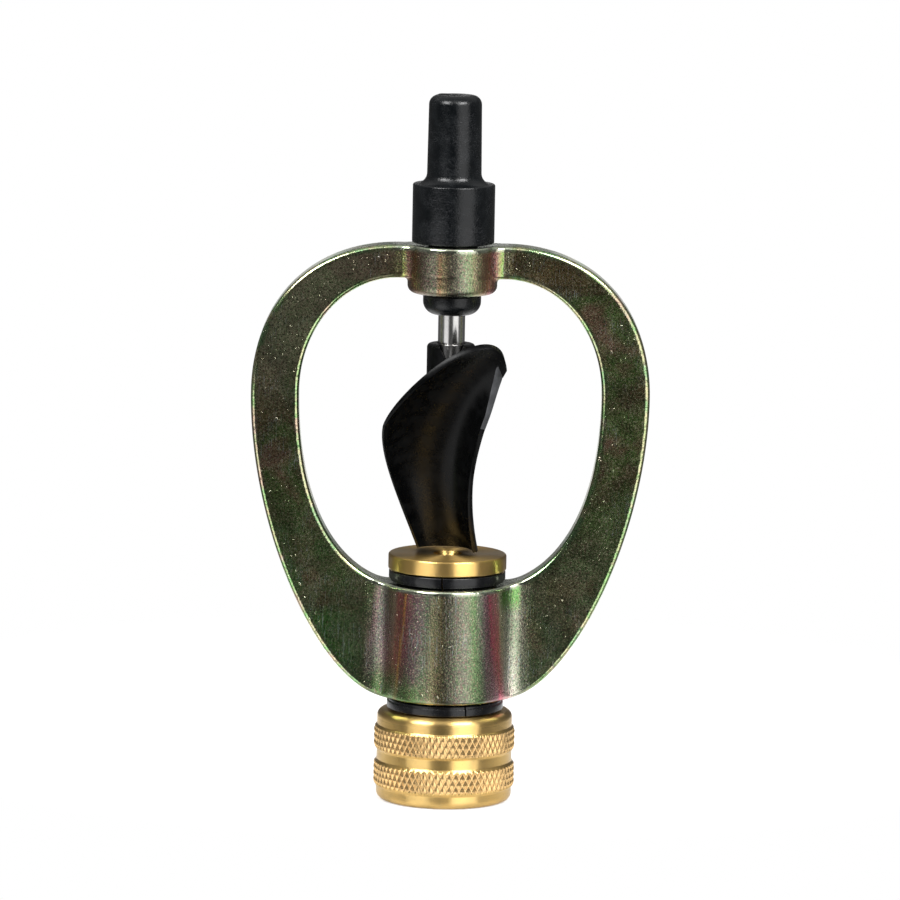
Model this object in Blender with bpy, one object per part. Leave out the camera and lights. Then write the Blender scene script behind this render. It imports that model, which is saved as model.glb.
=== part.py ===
"""Butterfly sprinkler: a knurled brass inlet with a flanged nozzle, a cast bow that turns on two split
bushes, and a scooped spinner on a steel spindle that runs in a moulded bearing cap.

Metres, +Z up. The origin is the centre of the inlet's lower face, and every piece is centred on the Z axis.
The bow lies in the XZ plane, and the spinner's scoop faces -Y.
"""

import math

import bmesh
import bpy
from mathutils import Vector

# Clearances
SEAT_GAP = 0.0003
RUNNING_GAP = 0.00015

# Facets
ROUND_STEPS = 36
SMALL_ROUND_STEPS = 24
CORNER_STEPS = 2
LARGE_ROUND = 0.0018  # a rounding of this size or more has twice the steps
EDGE_SHARE = 0.98  # of an edge, the most that the roundings at its ends take up
SHARP_ANGLE = math.radians(35)
MERGE_DISTANCE = 0.000001

# Inlet body: a hand-tightened coupling for a half-inch pipe thread, with the stem that the bow turns on
INLET_RADIUS = 0.0129
INLET_HEIGHT = 0.0173
INLET_TOP_ROUND = 0.0013
INLET_FOOT_ROUND = 0.0014
KNURL_RADIUS = 0.0135
KNURL_DEPTH = 0.0004
KNURL_TEETH = 68
KNURL_ROWS = 3
KNURL_BAND_HEIGHT = 0.0036
KNURL_BEVEL = 0.0009
KNURL_BED = 0.0001
LOWER_KNURL_Z = 0.0032
UPPER_KNURL_Z = 0.0101
SOCKET_RADIUS = 0.0094
SOCKET_DEPTH = 0.0115
SOCKET_MOUTH_CHAMFER = 0.0011
STEM_RADIUS = 0.0080
WATERWAY_RADIUS = 0.0045

# Inlet washer, pressed against the socket's end
WASHER_HOLE_RADIUS = 0.0056
WASHER_THICKNESS = 0.0020

# Split bushes between the stem and the bow's hub
BUSH_WALL = 0.00125
BUSH_FLANGE_RADIUS = 0.0111
BUSH_LIP_STEP = 0.0003
BUSH_LIP_HEIGHT = 0.0005
BUSH_SLEEVE_LENGTH = 0.0080
BUSH_SLIT_WIDTH = 0.0003
UPPER_FLANGE_THICKNESS = 0.0020
LOWER_FLANGE_THICKNESS = 0.0019
UPPER_SLIT_ANGLE = math.radians(-95)
LOWER_SLIT_ANGLE = math.radians(-69)

# Nozzle: a flange over the upper bush, and a spigot that screws into the stem
NOZZLE_FLANGE_RADIUS = 0.01125
NOZZLE_FLANGE_THICKNESS = 0.0029
NOZZLE_TOP_ROUND = 0.0004
NOZZLE_FOOT_ROUND = 0.0002
SPIGOT_RADIUS = 0.0058
SPIGOT_LENGTH = 0.0105
NOZZLE_BORE_RADIUS = 0.0042
ORIFICE_RADIUS = 0.0020
ORIFICE_LENGTH = 0.0010
COUNTERSINK_RADIUS = 0.00275
COUNTERSINK_DEPTH = 0.0009

# Bow: a cast ring with a hub below and a collar above
BOW_WIDTH = 0.0756
BOW_THICKNESS = 0.0062
BOW_SIDE_WIDTH = 0.0091
BOW_TOP_WIDTH = 0.0062
BOW_EDGE_ROUND = 0.0008
BOW_WAIST_DROP = 0.0285
SHOULDER_PULL_ACROSS = 0.0170
SHOULDER_PULL_DOWN = 0.0169
INNER_SHOULDER_PULL_ACROSS = 0.0099
INNER_SHOULDER_PULL_DOWN = 0.0132
FLANK_PULL_DOWN = 0.0272
FLANK_PULL_ACROSS = 0.0124
INNER_FLANK_PULL_DOWN = 0.0314
INNER_FLANK_PULL_ACROSS = 0.0030
BOSS_PROUD = 0.0001
BOSS_SKIN = 0.00015
HUB_RADIUS = 0.0119
HUB_HEIGHT = 0.0221
HUB_EDGE_ROUND = 0.0007
HUB_FILLET = 0.0045
COLLAR_RADIUS = 0.0085
COLLAR_HEIGHT = 0.0093
COLLAR_TOP_ROUND = 0.0006
COLLAR_FOOT_ROUND = 0.0015
COLLAR_FILLET = 0.0035
COLLAR_BORE_RADIUS = 0.0050
BOSS_STEPS = 7
SHOULDER_STEPS = 9
FLANK_STEPS = 14

# Spinner: a scoop drawn as a bicubic patch, with a notched hub behind it
SCOOP_WALL = 0.0012
SCOOP_RIM_WALL = 0.0005
SCOOP_STEPS_ACROSS = 12
SCOOP_STEPS_UP = 16
# Rows run from the foot to the lip, and each row from the left edge to the right: x, y, height over the foot.
SCOOP_NET = (
    ((-0.0054, 0.0040, 0.0), (-0.0038, 0.0078, 0.0), (0.0062, 0.0074, 0.0), (0.0044, -0.0014, 0.0)),
    ((-0.0091, 0.0025, 0.0095), (-0.0060, 0.0072, 0.0095), (0.0038, 0.0068, 0.0100), (0.0020, -0.0034, 0.0110)),
    ((-0.0134, -0.0020, 0.0190), (-0.0085, 0.0046, 0.0260), (0.0030, 0.0050, 0.0330), (0.0030, -0.0056, 0.0220)),
    ((-0.0122, -0.0090, 0.0250), (-0.0098, -0.0120, 0.0315), (0.0096, -0.0145, 0.0485), (0.0106, -0.0085, 0.0360)),
)
SPINNER_HUB_RADIUS = 0.0046
SPINNER_HEIGHT = 0.0400
SPINNER_HUB_LENGTH = 0.0260
SPINNER_HUB_EDGE_ROUND = 0.0008
HUB_NOTCH_WIDTH = 0.0049
HUB_NOTCH_DEPTH = 0.0048
TROUGH_REACH = 0.0300

# Spindle and the travel that it and the spinner have along the axis
SPINDLE_RADIUS = 0.00255
SPINDLE_LENGTH = 0.0465
SPINDLE_GRIP = 0.0100
SPINDLE_CHAMFER = 0.0004
SPINDLE_GROOVE_WIDTH = 0.0003
SPINDLE_GROOVE_DEPTH = 0.00015
LIFT_TRAVEL = 0.0052

# Bearing cap: a shoulder on the collar, a neck through it and a snap nose below
CAP_SHOULDER_RADIUS = 0.0078
CAP_SHOULDER_HEIGHT = 0.0112
CAP_SHOULDER_ROUND = 0.0003
CAP_BARREL_RADIUS = 0.0050
CAP_BARREL_TAPER = 0.0002
CAP_BARREL_FILLET = 0.0020
CAP_TOP_ROUND = 0.0014
CAP_END_WALL = 0.0053
NOSE_RADIUS = 0.0055
NOSE_HEIGHT = 0.0038
NOSE_ROUND = 0.0026

# Levels, stacked from the inlet's lower face upwards
LOWER_FLANGE_Z = INLET_HEIGHT + SEAT_GAP
HUB_BOTTOM = LOWER_FLANGE_Z + LOWER_FLANGE_THICKNESS + SEAT_GAP
HUB_TOP = HUB_BOTTOM + HUB_HEIGHT
UPPER_FLANGE_Z = HUB_TOP + SEAT_GAP
STEM_TOP = UPPER_FLANGE_Z + UPPER_FLANGE_THICKNESS
NOZZLE_FLANGE_Z = STEM_TOP + SEAT_GAP
NOZZLE_TOP = NOZZLE_FLANGE_Z + NOZZLE_FLANGE_THICKNESS
SPIGOT_BOTTOM = NOZZLE_FLANGE_Z - SPIGOT_LENGTH
SCOOP_FOOT = NOZZLE_TOP + SEAT_GAP
SPINNER_TOP = SCOOP_FOOT + SPINNER_HEIGHT
NOSE_BOTTOM = SPINNER_TOP + LIFT_TRAVEL + SEAT_GAP
COLLAR_BOTTOM = NOSE_BOTTOM + NOSE_HEIGHT + SEAT_GAP
COLLAR_TOP = COLLAR_BOTTOM + COLLAR_HEIGHT
CAP_SEAT = COLLAR_TOP + SEAT_GAP
SPINDLE_BOTTOM = SPINNER_TOP - SPINDLE_GRIP
SPINDLE_TOP = SPINDLE_BOTTOM + SPINDLE_LENGTH
CAP_BORE_END = SPINDLE_TOP + LIFT_TRAVEL + SEAT_GAP
CAP_TOP = CAP_BORE_END + CAP_END_WALL


def clear_scene():
    """Removes every object that the scene starts with."""
    for obj in list(bpy.data.objects):
        bpy.data.objects.remove(obj)


def make_material(name, colour, metallic, roughness):
    """A plain Principled material."""
    material = bpy.data.materials.new(name)
    material.use_nodes = True
    shader = material.node_tree.nodes["Principled BSDF"]
    shader.inputs["Base Color"].default_value = (*colour, 1.0)
    shader.inputs["Metallic"].default_value = metallic
    shader.inputs["Roughness"].default_value = roughness
    return material


def add_object(name, bm, material=None):
    """Links a bmesh as an object with its normals outwards, shaded smooth between its sharp edges."""
    bmesh.ops.recalc_face_normals(bm, faces=bm.faces)
    mesh = bpy.data.meshes.new(name)
    bm.to_mesh(mesh)
    bm.free()
    mesh.shade_smooth()
    mesh.set_sharp_from_angle(angle=SHARP_ANGLE)
    if material:
        mesh.materials.append(material)
    obj = bpy.data.objects.new(name, mesh)
    bpy.context.scene.collection.objects.link(obj)
    return obj


def as_helper(obj):
    """Marks an object as a cutter or a tool for a Boolean, which isn't part of the model."""
    obj.hide_render = True
    obj.display_type = "WIRE"
    return obj


def add_boolean(obj, other, operation):
    """Joins or cuts obj with a helper object."""
    modifier = obj.modifiers.new(f"{operation.lower()} {other.name}", "BOOLEAN")
    modifier.operation = operation
    modifier.solver = "EXACT"
    modifier.object = as_helper(other)


def corner_frame(corners, index):
    """Half the angle at a corner of a profile, and the ways from it to its neighbours."""
    corner = Vector(corners[index][:2])
    before = Vector(corners[index - 1][:2]) - corner
    after = Vector(corners[(index + 1) % len(corners)][:2]) - corner
    return before.angle(after) / 2, before, after


def rounded(corners, closed, steps=CORNER_STEPS):
    """Turns corners (radius, height, rounding) into profile points, with an arc where a rounding is given.

    Two roundings that want more than the edge between them has share it in proportion.
    """
    count = len(corners)
    wanted = [0.0] * count
    for index, (_, _, rounding) in enumerate(corners):
        if rounding and (closed or 0 < index < count - 1):
            wanted[index] = rounding / math.tan(corner_frame(corners, index)[0])
    points = []
    for index, (radius, height, _) in enumerate(corners):
        corner = Vector((radius, height))
        if not wanted[index]:
            points.append(corner)
            continue
        half_angle, before, after = corner_frame(corners, index)
        room = EDGE_SHARE * before.length / (wanted[index] + wanted[index - 1])
        room = min(room, EDGE_SHARE * after.length / (wanted[index] + wanted[(index + 1) % count]))
        tangent = wanted[index] * min(1.0, room)
        arc_radius = tangent * math.tan(half_angle)
        bisector = (before.normalized() + after.normalized()).normalized()
        centre = corner + bisector * (arc_radius / math.sin(half_angle))
        start = corner + before.normalized() * tangent - centre
        end = corner + after.normalized() * tangent - centre
        sweep = start.angle_signed(end)
        parts = steps if arc_radius < LARGE_ROUND else 2 * steps
        for step in range(parts + 1):
            turn = -sweep * step / parts
            x = start.x * math.cos(turn) - start.y * math.sin(turn)
            y = start.x * math.sin(turn) + start.y * math.cos(turn)
            points.append(centre + Vector((x, y)))
    return points


def turn_profile(name, corners, material=None, closed=False, steps=ROUND_STEPS):
    """Spins a profile about the Z axis. An open profile starts and ends on the axis."""
    bm = bmesh.new()
    verts = [bm.verts.new((p.x, 0.0, p.y)) for p in rounded(corners, closed)]
    ends = verts[1:] + verts[:1] if closed else verts[1:]
    edges = [bm.edges.new(pair) for pair in zip(verts, ends)]
    bmesh.ops.spin(
        bm,
        geom=verts + edges,
        cent=(0.0, 0.0, 0.0),
        axis=(0.0, 0.0, 1.0),
        angle=2 * math.pi,
        steps=steps,
        use_merge=True,
    )
    bmesh.ops.remove_doubles(bm, verts=bm.verts, dist=MERGE_DISTANCE)
    return add_object(name, bm, material)


def turn_plug(name, radius, bottom, top, steps=ROUND_STEPS):
    """A plain cylinder on the axis, for cutting a bore."""
    corners = [(0.0, top, 0.0), (radius, top, 0.0), (radius, bottom, 0.0), (0.0, bottom, 0.0)]
    return turn_profile(name, corners, steps=steps)


def box(name, low, high):
    """A box between two corners."""
    bm = bmesh.new()
    bmesh.ops.create_cube(bm, size=1.0)
    size = Vector(high) - Vector(low)
    centre = (Vector(high) + Vector(low)) / 2
    bmesh.ops.scale(bm, vec=size, verts=bm.verts)
    bmesh.ops.translate(bm, vec=centre, verts=bm.verts)
    return add_object(name, bm)


def skin_rings(bm, rings, close):
    """Bridges rings of vertices with quads, and joins the last to the first if close is set."""
    pairs = zip(rings, rings[1:] + rings[:1]) if close else zip(rings, rings[1:])
    for ring, following in pairs:
        for index in range(len(ring)):
            after = (index + 1) % len(ring)
            bm.faces.new((ring[index], ring[after], following[after], following[index]))


def bezier(points, t):
    """A point on a cubic Bezier curve."""
    weights = ((1 - t) ** 3, 3 * (1 - t) ** 2 * t, 3 * (1 - t) * t**2, t**3)
    return sum((Vector(p) * w for p, w in zip(points, weights)), Vector((0.0,) * len(points[0])))


def knurl_ring(name, bottom):
    """A ring of diamond teeth: each crest is a corner of a lattice whose other corners are the grooves."""
    bm = bmesh.new()
    columns = 2 * KNURL_TEETH
    groove_radius = KNURL_RADIUS - KNURL_DEPTH
    root_radius = groove_radius - 2 * KNURL_DEPTH
    rings = []
    for row in range(KNURL_ROWS + 1):
        z = bottom + KNURL_BAND_HEIGHT * row / KNURL_ROWS
        ring = []
        for column in range(columns):
            radius = groove_radius if (row + column) % 2 else KNURL_RADIUS
            angle = math.pi * column / KNURL_TEETH
            ring.append(bm.verts.new((radius * math.cos(angle), radius * math.sin(angle), z)))
        rings.append(ring)
    for row in range(KNURL_ROWS):
        for column in range(columns):
            after = (column + 1) % columns
            low, low_after = rings[row][column], rings[row][after]
            high, high_after = rings[row + 1][column], rings[row + 1][after]
            if (row + column) % 2:
                bm.faces.new((low, low_after, high_after))
                bm.faces.new((low, high_after, high))
            else:
                bm.faces.new((low, low_after, high))
                bm.faces.new((low_after, high_after, high))
    root = []
    for ring in (rings[-1], rings[0]):
        root.append([bm.verts.new((*(v.co.xy.normalized() * root_radius), v.co.z)) for v in ring])
    skin_rings(bm, [rings[-1], root[0], root[1], rings[0]], close=False)
    return add_object(name, bm)


def inlet_body(material):
    """The coupling with its two raised bands, the socket for the pipe and the stem above it."""
    spigot_bore = SPIGOT_RADIUS + SEAT_GAP
    spigot_floor = SPIGOT_BOTTOM - SEAT_GAP
    corners = [
        (spigot_bore, STEM_TOP, 0.0),
        (STEM_RADIUS, STEM_TOP, 0.0),
        (STEM_RADIUS, INLET_HEIGHT, 0.0),
        (INLET_RADIUS, INLET_HEIGHT, INLET_TOP_ROUND),
    ]
    bed = KNURL_RADIUS - KNURL_DEPTH - KNURL_BED
    for band_bottom in (UPPER_KNURL_Z, LOWER_KNURL_Z):
        band_top = band_bottom + KNURL_BAND_HEIGHT
        corners += [
            (INLET_RADIUS, band_top + KNURL_BEVEL, 0.0),
            (bed, band_top, 0.0),
            (bed, band_bottom, 0.0),
            (INLET_RADIUS, band_bottom - KNURL_BEVEL, 0.0),
        ]
    corners += [
        (INLET_RADIUS, 0.0, INLET_FOOT_ROUND),
        (SOCKET_RADIUS + SOCKET_MOUTH_CHAMFER, 0.0, 0.0),
        (SOCKET_RADIUS, SOCKET_MOUTH_CHAMFER, 0.0),
        (SOCKET_RADIUS, SOCKET_DEPTH, 0.0),
        (WATERWAY_RADIUS, SOCKET_DEPTH, 0.0),
        (WATERWAY_RADIUS, spigot_floor, 0.0),
        (spigot_bore, spigot_floor, 0.0),
    ]
    body = turn_profile("inlet_body", corners, material, closed=True)
    add_boolean(body, knurl_ring("lower_knurl", LOWER_KNURL_Z), "UNION")
    add_boolean(body, knurl_ring("upper_knurl", UPPER_KNURL_Z), "UNION")
    return body


def inlet_washer(material):
    """The flat sealing washer at the end of the socket."""
    top = SOCKET_DEPTH - SEAT_GAP
    bottom = top - WASHER_THICKNESS
    outside = SOCKET_RADIUS - SEAT_GAP
    corners = [
        (WASHER_HOLE_RADIUS, top, 0.0),
        (outside, top, 0.0),
        (outside, bottom, 0.0),
        (WASHER_HOLE_RADIUS, bottom, 0.0),
    ]
    return turn_profile("inlet_washer", corners, material, closed=True)


def nozzle(material):
    """The flanged nozzle, whose bore narrows to the orifice under a countersink."""
    orifice_top = NOZZLE_TOP - COUNTERSINK_DEPTH
    corners = [
        (COUNTERSINK_RADIUS, NOZZLE_TOP, 0.0),
        (NOZZLE_FLANGE_RADIUS, NOZZLE_TOP, NOZZLE_TOP_ROUND),
        (NOZZLE_FLANGE_RADIUS, NOZZLE_FLANGE_Z, NOZZLE_FOOT_ROUND),
        (SPIGOT_RADIUS, NOZZLE_FLANGE_Z, 0.0),
        (SPIGOT_RADIUS, SPIGOT_BOTTOM, 0.0),
        (NOZZLE_BORE_RADIUS, SPIGOT_BOTTOM, 0.0),
        (ORIFICE_RADIUS, orifice_top - ORIFICE_LENGTH, 0.0),
        (ORIFICE_RADIUS, orifice_top, 0.0),
    ]
    return turn_profile("nozzle", corners, material, closed=True)


def bush(name, flange_z, thickness, upwards, slit_angle, material):
    """A flanged bush, split on one side. Its sleeve runs into the hub, away from the flange."""
    way = 1.0 if upwards else -1.0
    inside = STEM_RADIUS + RUNNING_GAP
    sleeve = inside + BUSH_WALL
    hub_side = flange_z if upwards else flange_z + thickness
    far_side = hub_side + way * thickness
    sleeve_end = hub_side - way * (SEAT_GAP + BUSH_SLEEVE_LENGTH)
    lip = hub_side + way * BUSH_LIP_HEIGHT
    corners = [
        (inside, far_side, 0.0),
        (BUSH_FLANGE_RADIUS, far_side, 0.0),
        (BUSH_FLANGE_RADIUS, lip, 0.0),
        (BUSH_FLANGE_RADIUS - BUSH_LIP_STEP, lip, 0.0),
        (BUSH_FLANGE_RADIUS - BUSH_LIP_STEP, hub_side, 0.0),
        (sleeve, hub_side, 0.0),
        (sleeve, sleeve_end, 0.0),
        (inside, sleeve_end, 0.0),
    ]
    obj = turn_profile(name, corners, material, closed=True)
    low = min(far_side, sleeve_end) - BUSH_WALL
    high = max(far_side, sleeve_end) + BUSH_WALL
    half = BUSH_SLIT_WIDTH / 2
    slit = box(f"{name}_slit", (0.0, -half, low), (BUSH_FLANGE_RADIUS + BUSH_WALL, half, high))
    slit.rotation_euler.z = slit_angle
    add_boolean(obj, slit, "DIFFERENCE")
    return obj


def boss_tangents(boss_radius, fillet):
    """Where a fillet leaves a round boss and where it meets the bow's flat face, along X."""
    reach = boss_radius + fillet
    fillet_x = math.sqrt(reach**2 - (BOW_THICKNESS / 2 + fillet) ** 2)
    return fillet_x * boss_radius / reach, fillet_x


def half_depth(x, boss_radius, fillet):
    """Half the bow's depth at x: round at the boss, hollow in its fillet and flat beyond."""
    tangent_x, fillet_x = boss_tangents(boss_radius, fillet)
    if x <= tangent_x:
        return math.sqrt(boss_radius**2 - x**2)
    if x < fillet_x:
        return BOW_THICKNESS / 2 + fillet - math.sqrt(fillet**2 - (x - fillet_x) ** 2)
    return BOW_THICKNESS / 2


def bow_stations():
    """Right half of the bow, from the collar down to the hub: (outer point, inner point, boss, fillet)."""
    collar = (COLLAR_RADIUS - BOSS_SKIN, COLLAR_FILLET)
    hub = (HUB_RADIUS - BOSS_SKIN, HUB_FILLET)
    top = COLLAR_TOP - BOSS_PROUD
    under = top - BOW_TOP_WIDTH
    waist = top - BOW_WAIST_DROP
    foot = HUB_BOTTOM + BOSS_PROUD
    floor = HUB_TOP - BOSS_PROUD
    outer_x = BOW_WIDTH / 2
    inner_x = outer_x - BOW_SIDE_WIDTH
    collar_tangent, collar_end = boss_tangents(*collar)
    hub_tangent = boss_tangents(*hub)[0]

    stations = []
    widest = math.asin(collar_tangent / collar[0])
    for step in range(BOSS_STEPS):
        x = collar[0] * math.sin(widest * step / (BOSS_STEPS - 1))
        stations.append(((x, top), (x, under), *collar))
    shoulder = (
        (collar_end, top),
        (collar_end + SHOULDER_PULL_ACROSS, top),
        (outer_x, waist + SHOULDER_PULL_DOWN),
        (outer_x, waist),
    )
    inner_shoulder = (
        (collar_end, under),
        (collar_end + INNER_SHOULDER_PULL_ACROSS, under),
        (inner_x, waist + INNER_SHOULDER_PULL_DOWN),
        (inner_x, waist),
    )
    for step in range(SHOULDER_STEPS):
        t = step / SHOULDER_STEPS
        stations.append((bezier(shoulder, t), bezier(inner_shoulder, t), *collar))
    flank = (
        (outer_x, waist),
        (outer_x, waist - FLANK_PULL_DOWN),
        (hub_tangent + FLANK_PULL_ACROSS, foot),
        (hub_tangent, foot),
    )
    inner_flank = (
        (inner_x, waist),
        (inner_x, waist - INNER_FLANK_PULL_DOWN),
        (hub_tangent + INNER_FLANK_PULL_ACROSS, floor),
        (hub_tangent, floor),
    )
    crowding = 0.7  # below 1, so that the stations crowd together where the hub's fillet is
    for step in range(FLANK_STEPS):
        t = (step / FLANK_STEPS) ** crowding
        stations.append((bezier(flank, t), bezier(inner_flank, t), *hub))
    widest = math.asin(hub_tangent / hub[0])
    for step in range(BOSS_STEPS):
        x = hub[0] * math.sin(widest * (1 - step / (BOSS_STEPS - 1)))
        stations.append(((x, foot), (x, floor), *hub))
    return stations


def bow_section(bm, outer, inner, boss_radius, fillet, side):
    """One section of the bow, a rectangle with rounded corners, as a ring of vertices."""
    outer = Vector((outer[0] * side, outer[1]))
    inner = Vector((inner[0] * side, inner[1]))
    across = (outer - inner).normalized()
    ring = []
    for end, way, front in ((outer, 1, -1), (inner, -1, -1), (inner, -1, 1), (outer, 1, 1)):
        depth = half_depth(abs(end.x), boss_radius, fillet) - BOW_EDGE_ROUND
        centre = end - across * way * BOW_EDGE_ROUND
        turns = [math.pi / 2 * step / CORNER_STEPS for step in range(CORNER_STEPS + 1)]
        if way * front > 0:
            turns.reverse()
        for turn in turns:
            point = centre + across * way * BOW_EDGE_ROUND * math.cos(turn)
            y = front * (depth + BOW_EDGE_ROUND * math.sin(turn))
            ring.append(bm.verts.new((point.x, y, point.y)))
    return ring


def bow_ring():
    """The bow as a loft of sections, round from the collar to the hub and back."""
    bm = bmesh.new()
    stations = bow_stations()
    rings = [bow_section(bm, *station, 1) for station in stations]
    rings += [bow_section(bm, *station, -1) for station in reversed(stations[1:-1])]
    skin_rings(bm, rings, close=True)
    return bm


def bow_frame(material):
    """The cast frame: the bow joined to its hub and collar, and bored for the bushes and the cap."""
    frame = add_object("bow_frame", bow_ring(), material)
    hub = turn_profile(
        "hub_boss",
        [
            (0.0, HUB_TOP, 0.0),
            (HUB_RADIUS, HUB_TOP, HUB_EDGE_ROUND),
            (HUB_RADIUS, HUB_BOTTOM, HUB_EDGE_ROUND),
            (0.0, HUB_BOTTOM, 0.0),
        ],
    )
    collar = turn_profile(
        "collar_boss",
        [
            (0.0, COLLAR_TOP, 0.0),
            (COLLAR_RADIUS, COLLAR_TOP, COLLAR_TOP_ROUND),
            (COLLAR_RADIUS, COLLAR_BOTTOM, COLLAR_FOOT_ROUND),
            (0.0, COLLAR_BOTTOM, 0.0),
        ],
    )
    hub_bore = STEM_RADIUS + RUNNING_GAP + BUSH_WALL + SEAT_GAP
    over = HUB_EDGE_ROUND
    add_boolean(frame, hub, "UNION")
    add_boolean(frame, collar, "UNION")
    hub_plug = turn_plug("hub_bore", hub_bore, HUB_BOTTOM - over, HUB_TOP + over)
    collar_plug = turn_plug("collar_bore", COLLAR_BORE_RADIUS, COLLAR_BOTTOM - over, COLLAR_TOP + over)
    for plug in (hub_plug, collar_plug):
        plug.rotation_euler.z = math.pi / ROUND_STEPS  # half a facet, so that its corners miss the boss's own
        add_boolean(frame, plug, "DIFFERENCE")
    return frame


def bearing_cap(material):
    """The moulded cap, with a blind bore that the spindle turns and slides in."""
    bore = SPINDLE_RADIUS + RUNNING_GAP
    neck = COLLAR_BORE_RADIUS - SEAT_GAP
    shoulder_top = CAP_SEAT + CAP_SHOULDER_HEIGHT
    nose_top = COLLAR_BOTTOM - SEAT_GAP
    corners = [
        (0.0, CAP_TOP, 0.0),
        (CAP_BARREL_RADIUS, CAP_TOP, CAP_TOP_ROUND),
        (CAP_BARREL_RADIUS + CAP_BARREL_TAPER, shoulder_top, CAP_BARREL_FILLET),
        (CAP_SHOULDER_RADIUS, shoulder_top, CAP_SHOULDER_ROUND),
        (CAP_SHOULDER_RADIUS, CAP_SEAT, CAP_SHOULDER_ROUND),
        (neck, CAP_SEAT, 0.0),
        (neck, nose_top, 0.0),
        (NOSE_RADIUS, nose_top, CAP_SHOULDER_ROUND),
        (NOSE_RADIUS, NOSE_BOTTOM, NOSE_ROUND),
        (bore, NOSE_BOTTOM, 0.0),
        (bore, CAP_BORE_END, 0.0),
        (0.0, CAP_BORE_END, 0.0),
    ]
    return turn_profile("bearing_cap", corners, material)


def spindle(material):
    """The steel spindle, with a fine groove where it enters the spinner's hub."""
    groove_radius = SPINDLE_RADIUS - SPINDLE_GROOVE_DEPTH
    groove_top = SPINNER_TOP + SPINDLE_GROOVE_WIDTH / 2
    groove_bottom = SPINNER_TOP - SPINDLE_GROOVE_WIDTH / 2
    chamfered = SPINDLE_RADIUS - SPINDLE_CHAMFER
    corners = [
        (0.0, SPINDLE_TOP, 0.0),
        (chamfered, SPINDLE_TOP, 0.0),
        (SPINDLE_RADIUS, SPINDLE_TOP - SPINDLE_CHAMFER, 0.0),
        (SPINDLE_RADIUS, groove_top, 0.0),
        (groove_radius, groove_top, 0.0),
        (groove_radius, groove_bottom, 0.0),
        (SPINDLE_RADIUS, groove_bottom, 0.0),
        (SPINDLE_RADIUS, SPINDLE_BOTTOM + SPINDLE_CHAMFER, 0.0),
        (chamfered, SPINDLE_BOTTOM, 0.0),
        (0.0, SPINDLE_BOTTOM, 0.0),
    ]
    return turn_profile("spindle", corners, material, steps=SMALL_ROUND_STEPS)


def scoop_point(u, v):
    """A point on the scoop's wet face: u runs from the left edge to the right, v from the foot to the lip."""
    column = [bezier(row, u) for row in SCOOP_NET]
    return bezier(column, v) + Vector((0.0, 0.0, SCOOP_FOOT))


def scoop_normal(u, v):
    """The direction out of the scoop's back at a point of its wet face."""
    step = 0.001
    along = scoop_point(u + step, v) - scoop_point(u - step, v)
    up = scoop_point(u, v + step) - scoop_point(u, v - step)
    return up.cross(along).normalized()


def scoop_wall(u):
    """The scoop's thickness, which thins out at its left edge."""
    return SCOOP_WALL - (SCOOP_WALL - SCOOP_RIM_WALL) * (1 - u) ** 3


def scoop_grid(bm, across, up, share):
    """Vertices over ranges of u and v, in rows from the foot up, at a share of the wall from the wet face."""
    rows = []
    for j in range(SCOOP_STEPS_UP + 1):
        v = up[0] + (up[1] - up[0]) * j / SCOOP_STEPS_UP
        row = []
        for i in range(SCOOP_STEPS_ACROSS + 1):
            u = across[0] + (across[1] - across[0]) * i / SCOOP_STEPS_ACROSS
            row.append(bm.verts.new(scoop_point(u, v) + scoop_normal(u, v) * scoop_wall(u) * share))
        rows.append(row)
    return rows


def fill_grid(bm, rows):
    """Quads over rows of vertices."""
    for row, above in zip(rows, rows[1:]):
        for i in range(len(row) - 1):
            bm.faces.new((row[i], row[i + 1], above[i + 1], above[i]))


def grid_rim(rows):
    """The vertices round a grid's edge, in order."""
    right = [row[-1] for row in rows[1:]]
    left = [row[0] for row in reversed(rows[1:-1])]
    return rows[0] + right + rows[-1][-2::-1] + left


def thick_grid(front, back, bm):
    """Closes two like grids into one solid."""
    fill_grid(bm, front)
    fill_grid(bm, back)
    skin_rings(bm, [grid_rim(front), grid_rim(back)], close=False)


def scoop_trough():
    """What the hub may not fill: all that lies in front of the middle of the scoop's wall."""
    bm = bmesh.new()
    back = scoop_grid(bm, (0.02, 0.98), (0.2, 1.0), 0.5)
    front = [[bm.verts.new((v.co.x, -TROUGH_REACH, v.co.z)) for v in row] for row in back]
    thick_grid(front, back, bm)
    return add_object("scoop_trough", bm)


def hub_notch(over):
    """The V that the front of the hub is cut back by, as a wedge that stands out past the hub by over."""
    bm = bmesh.new()
    half = HUB_NOTCH_WIDTH / 2 * (1 + over / HUB_NOTCH_DEPTH)
    top = SPINNER_TOP + over
    outline = ((-half, top), (0.0, SPINNER_TOP - HUB_NOTCH_DEPTH), (half, top))
    front = [bm.verts.new((x, -SPINNER_HUB_RADIUS - over, z)) for x, z in outline]
    back = [bm.verts.new((x, 0.0, z)) for x, z in outline]
    bm.faces.new(front)
    bm.faces.new(back)
    skin_rings(bm, [front, back], close=False)
    return add_object("hub_notch", bm)


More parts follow.
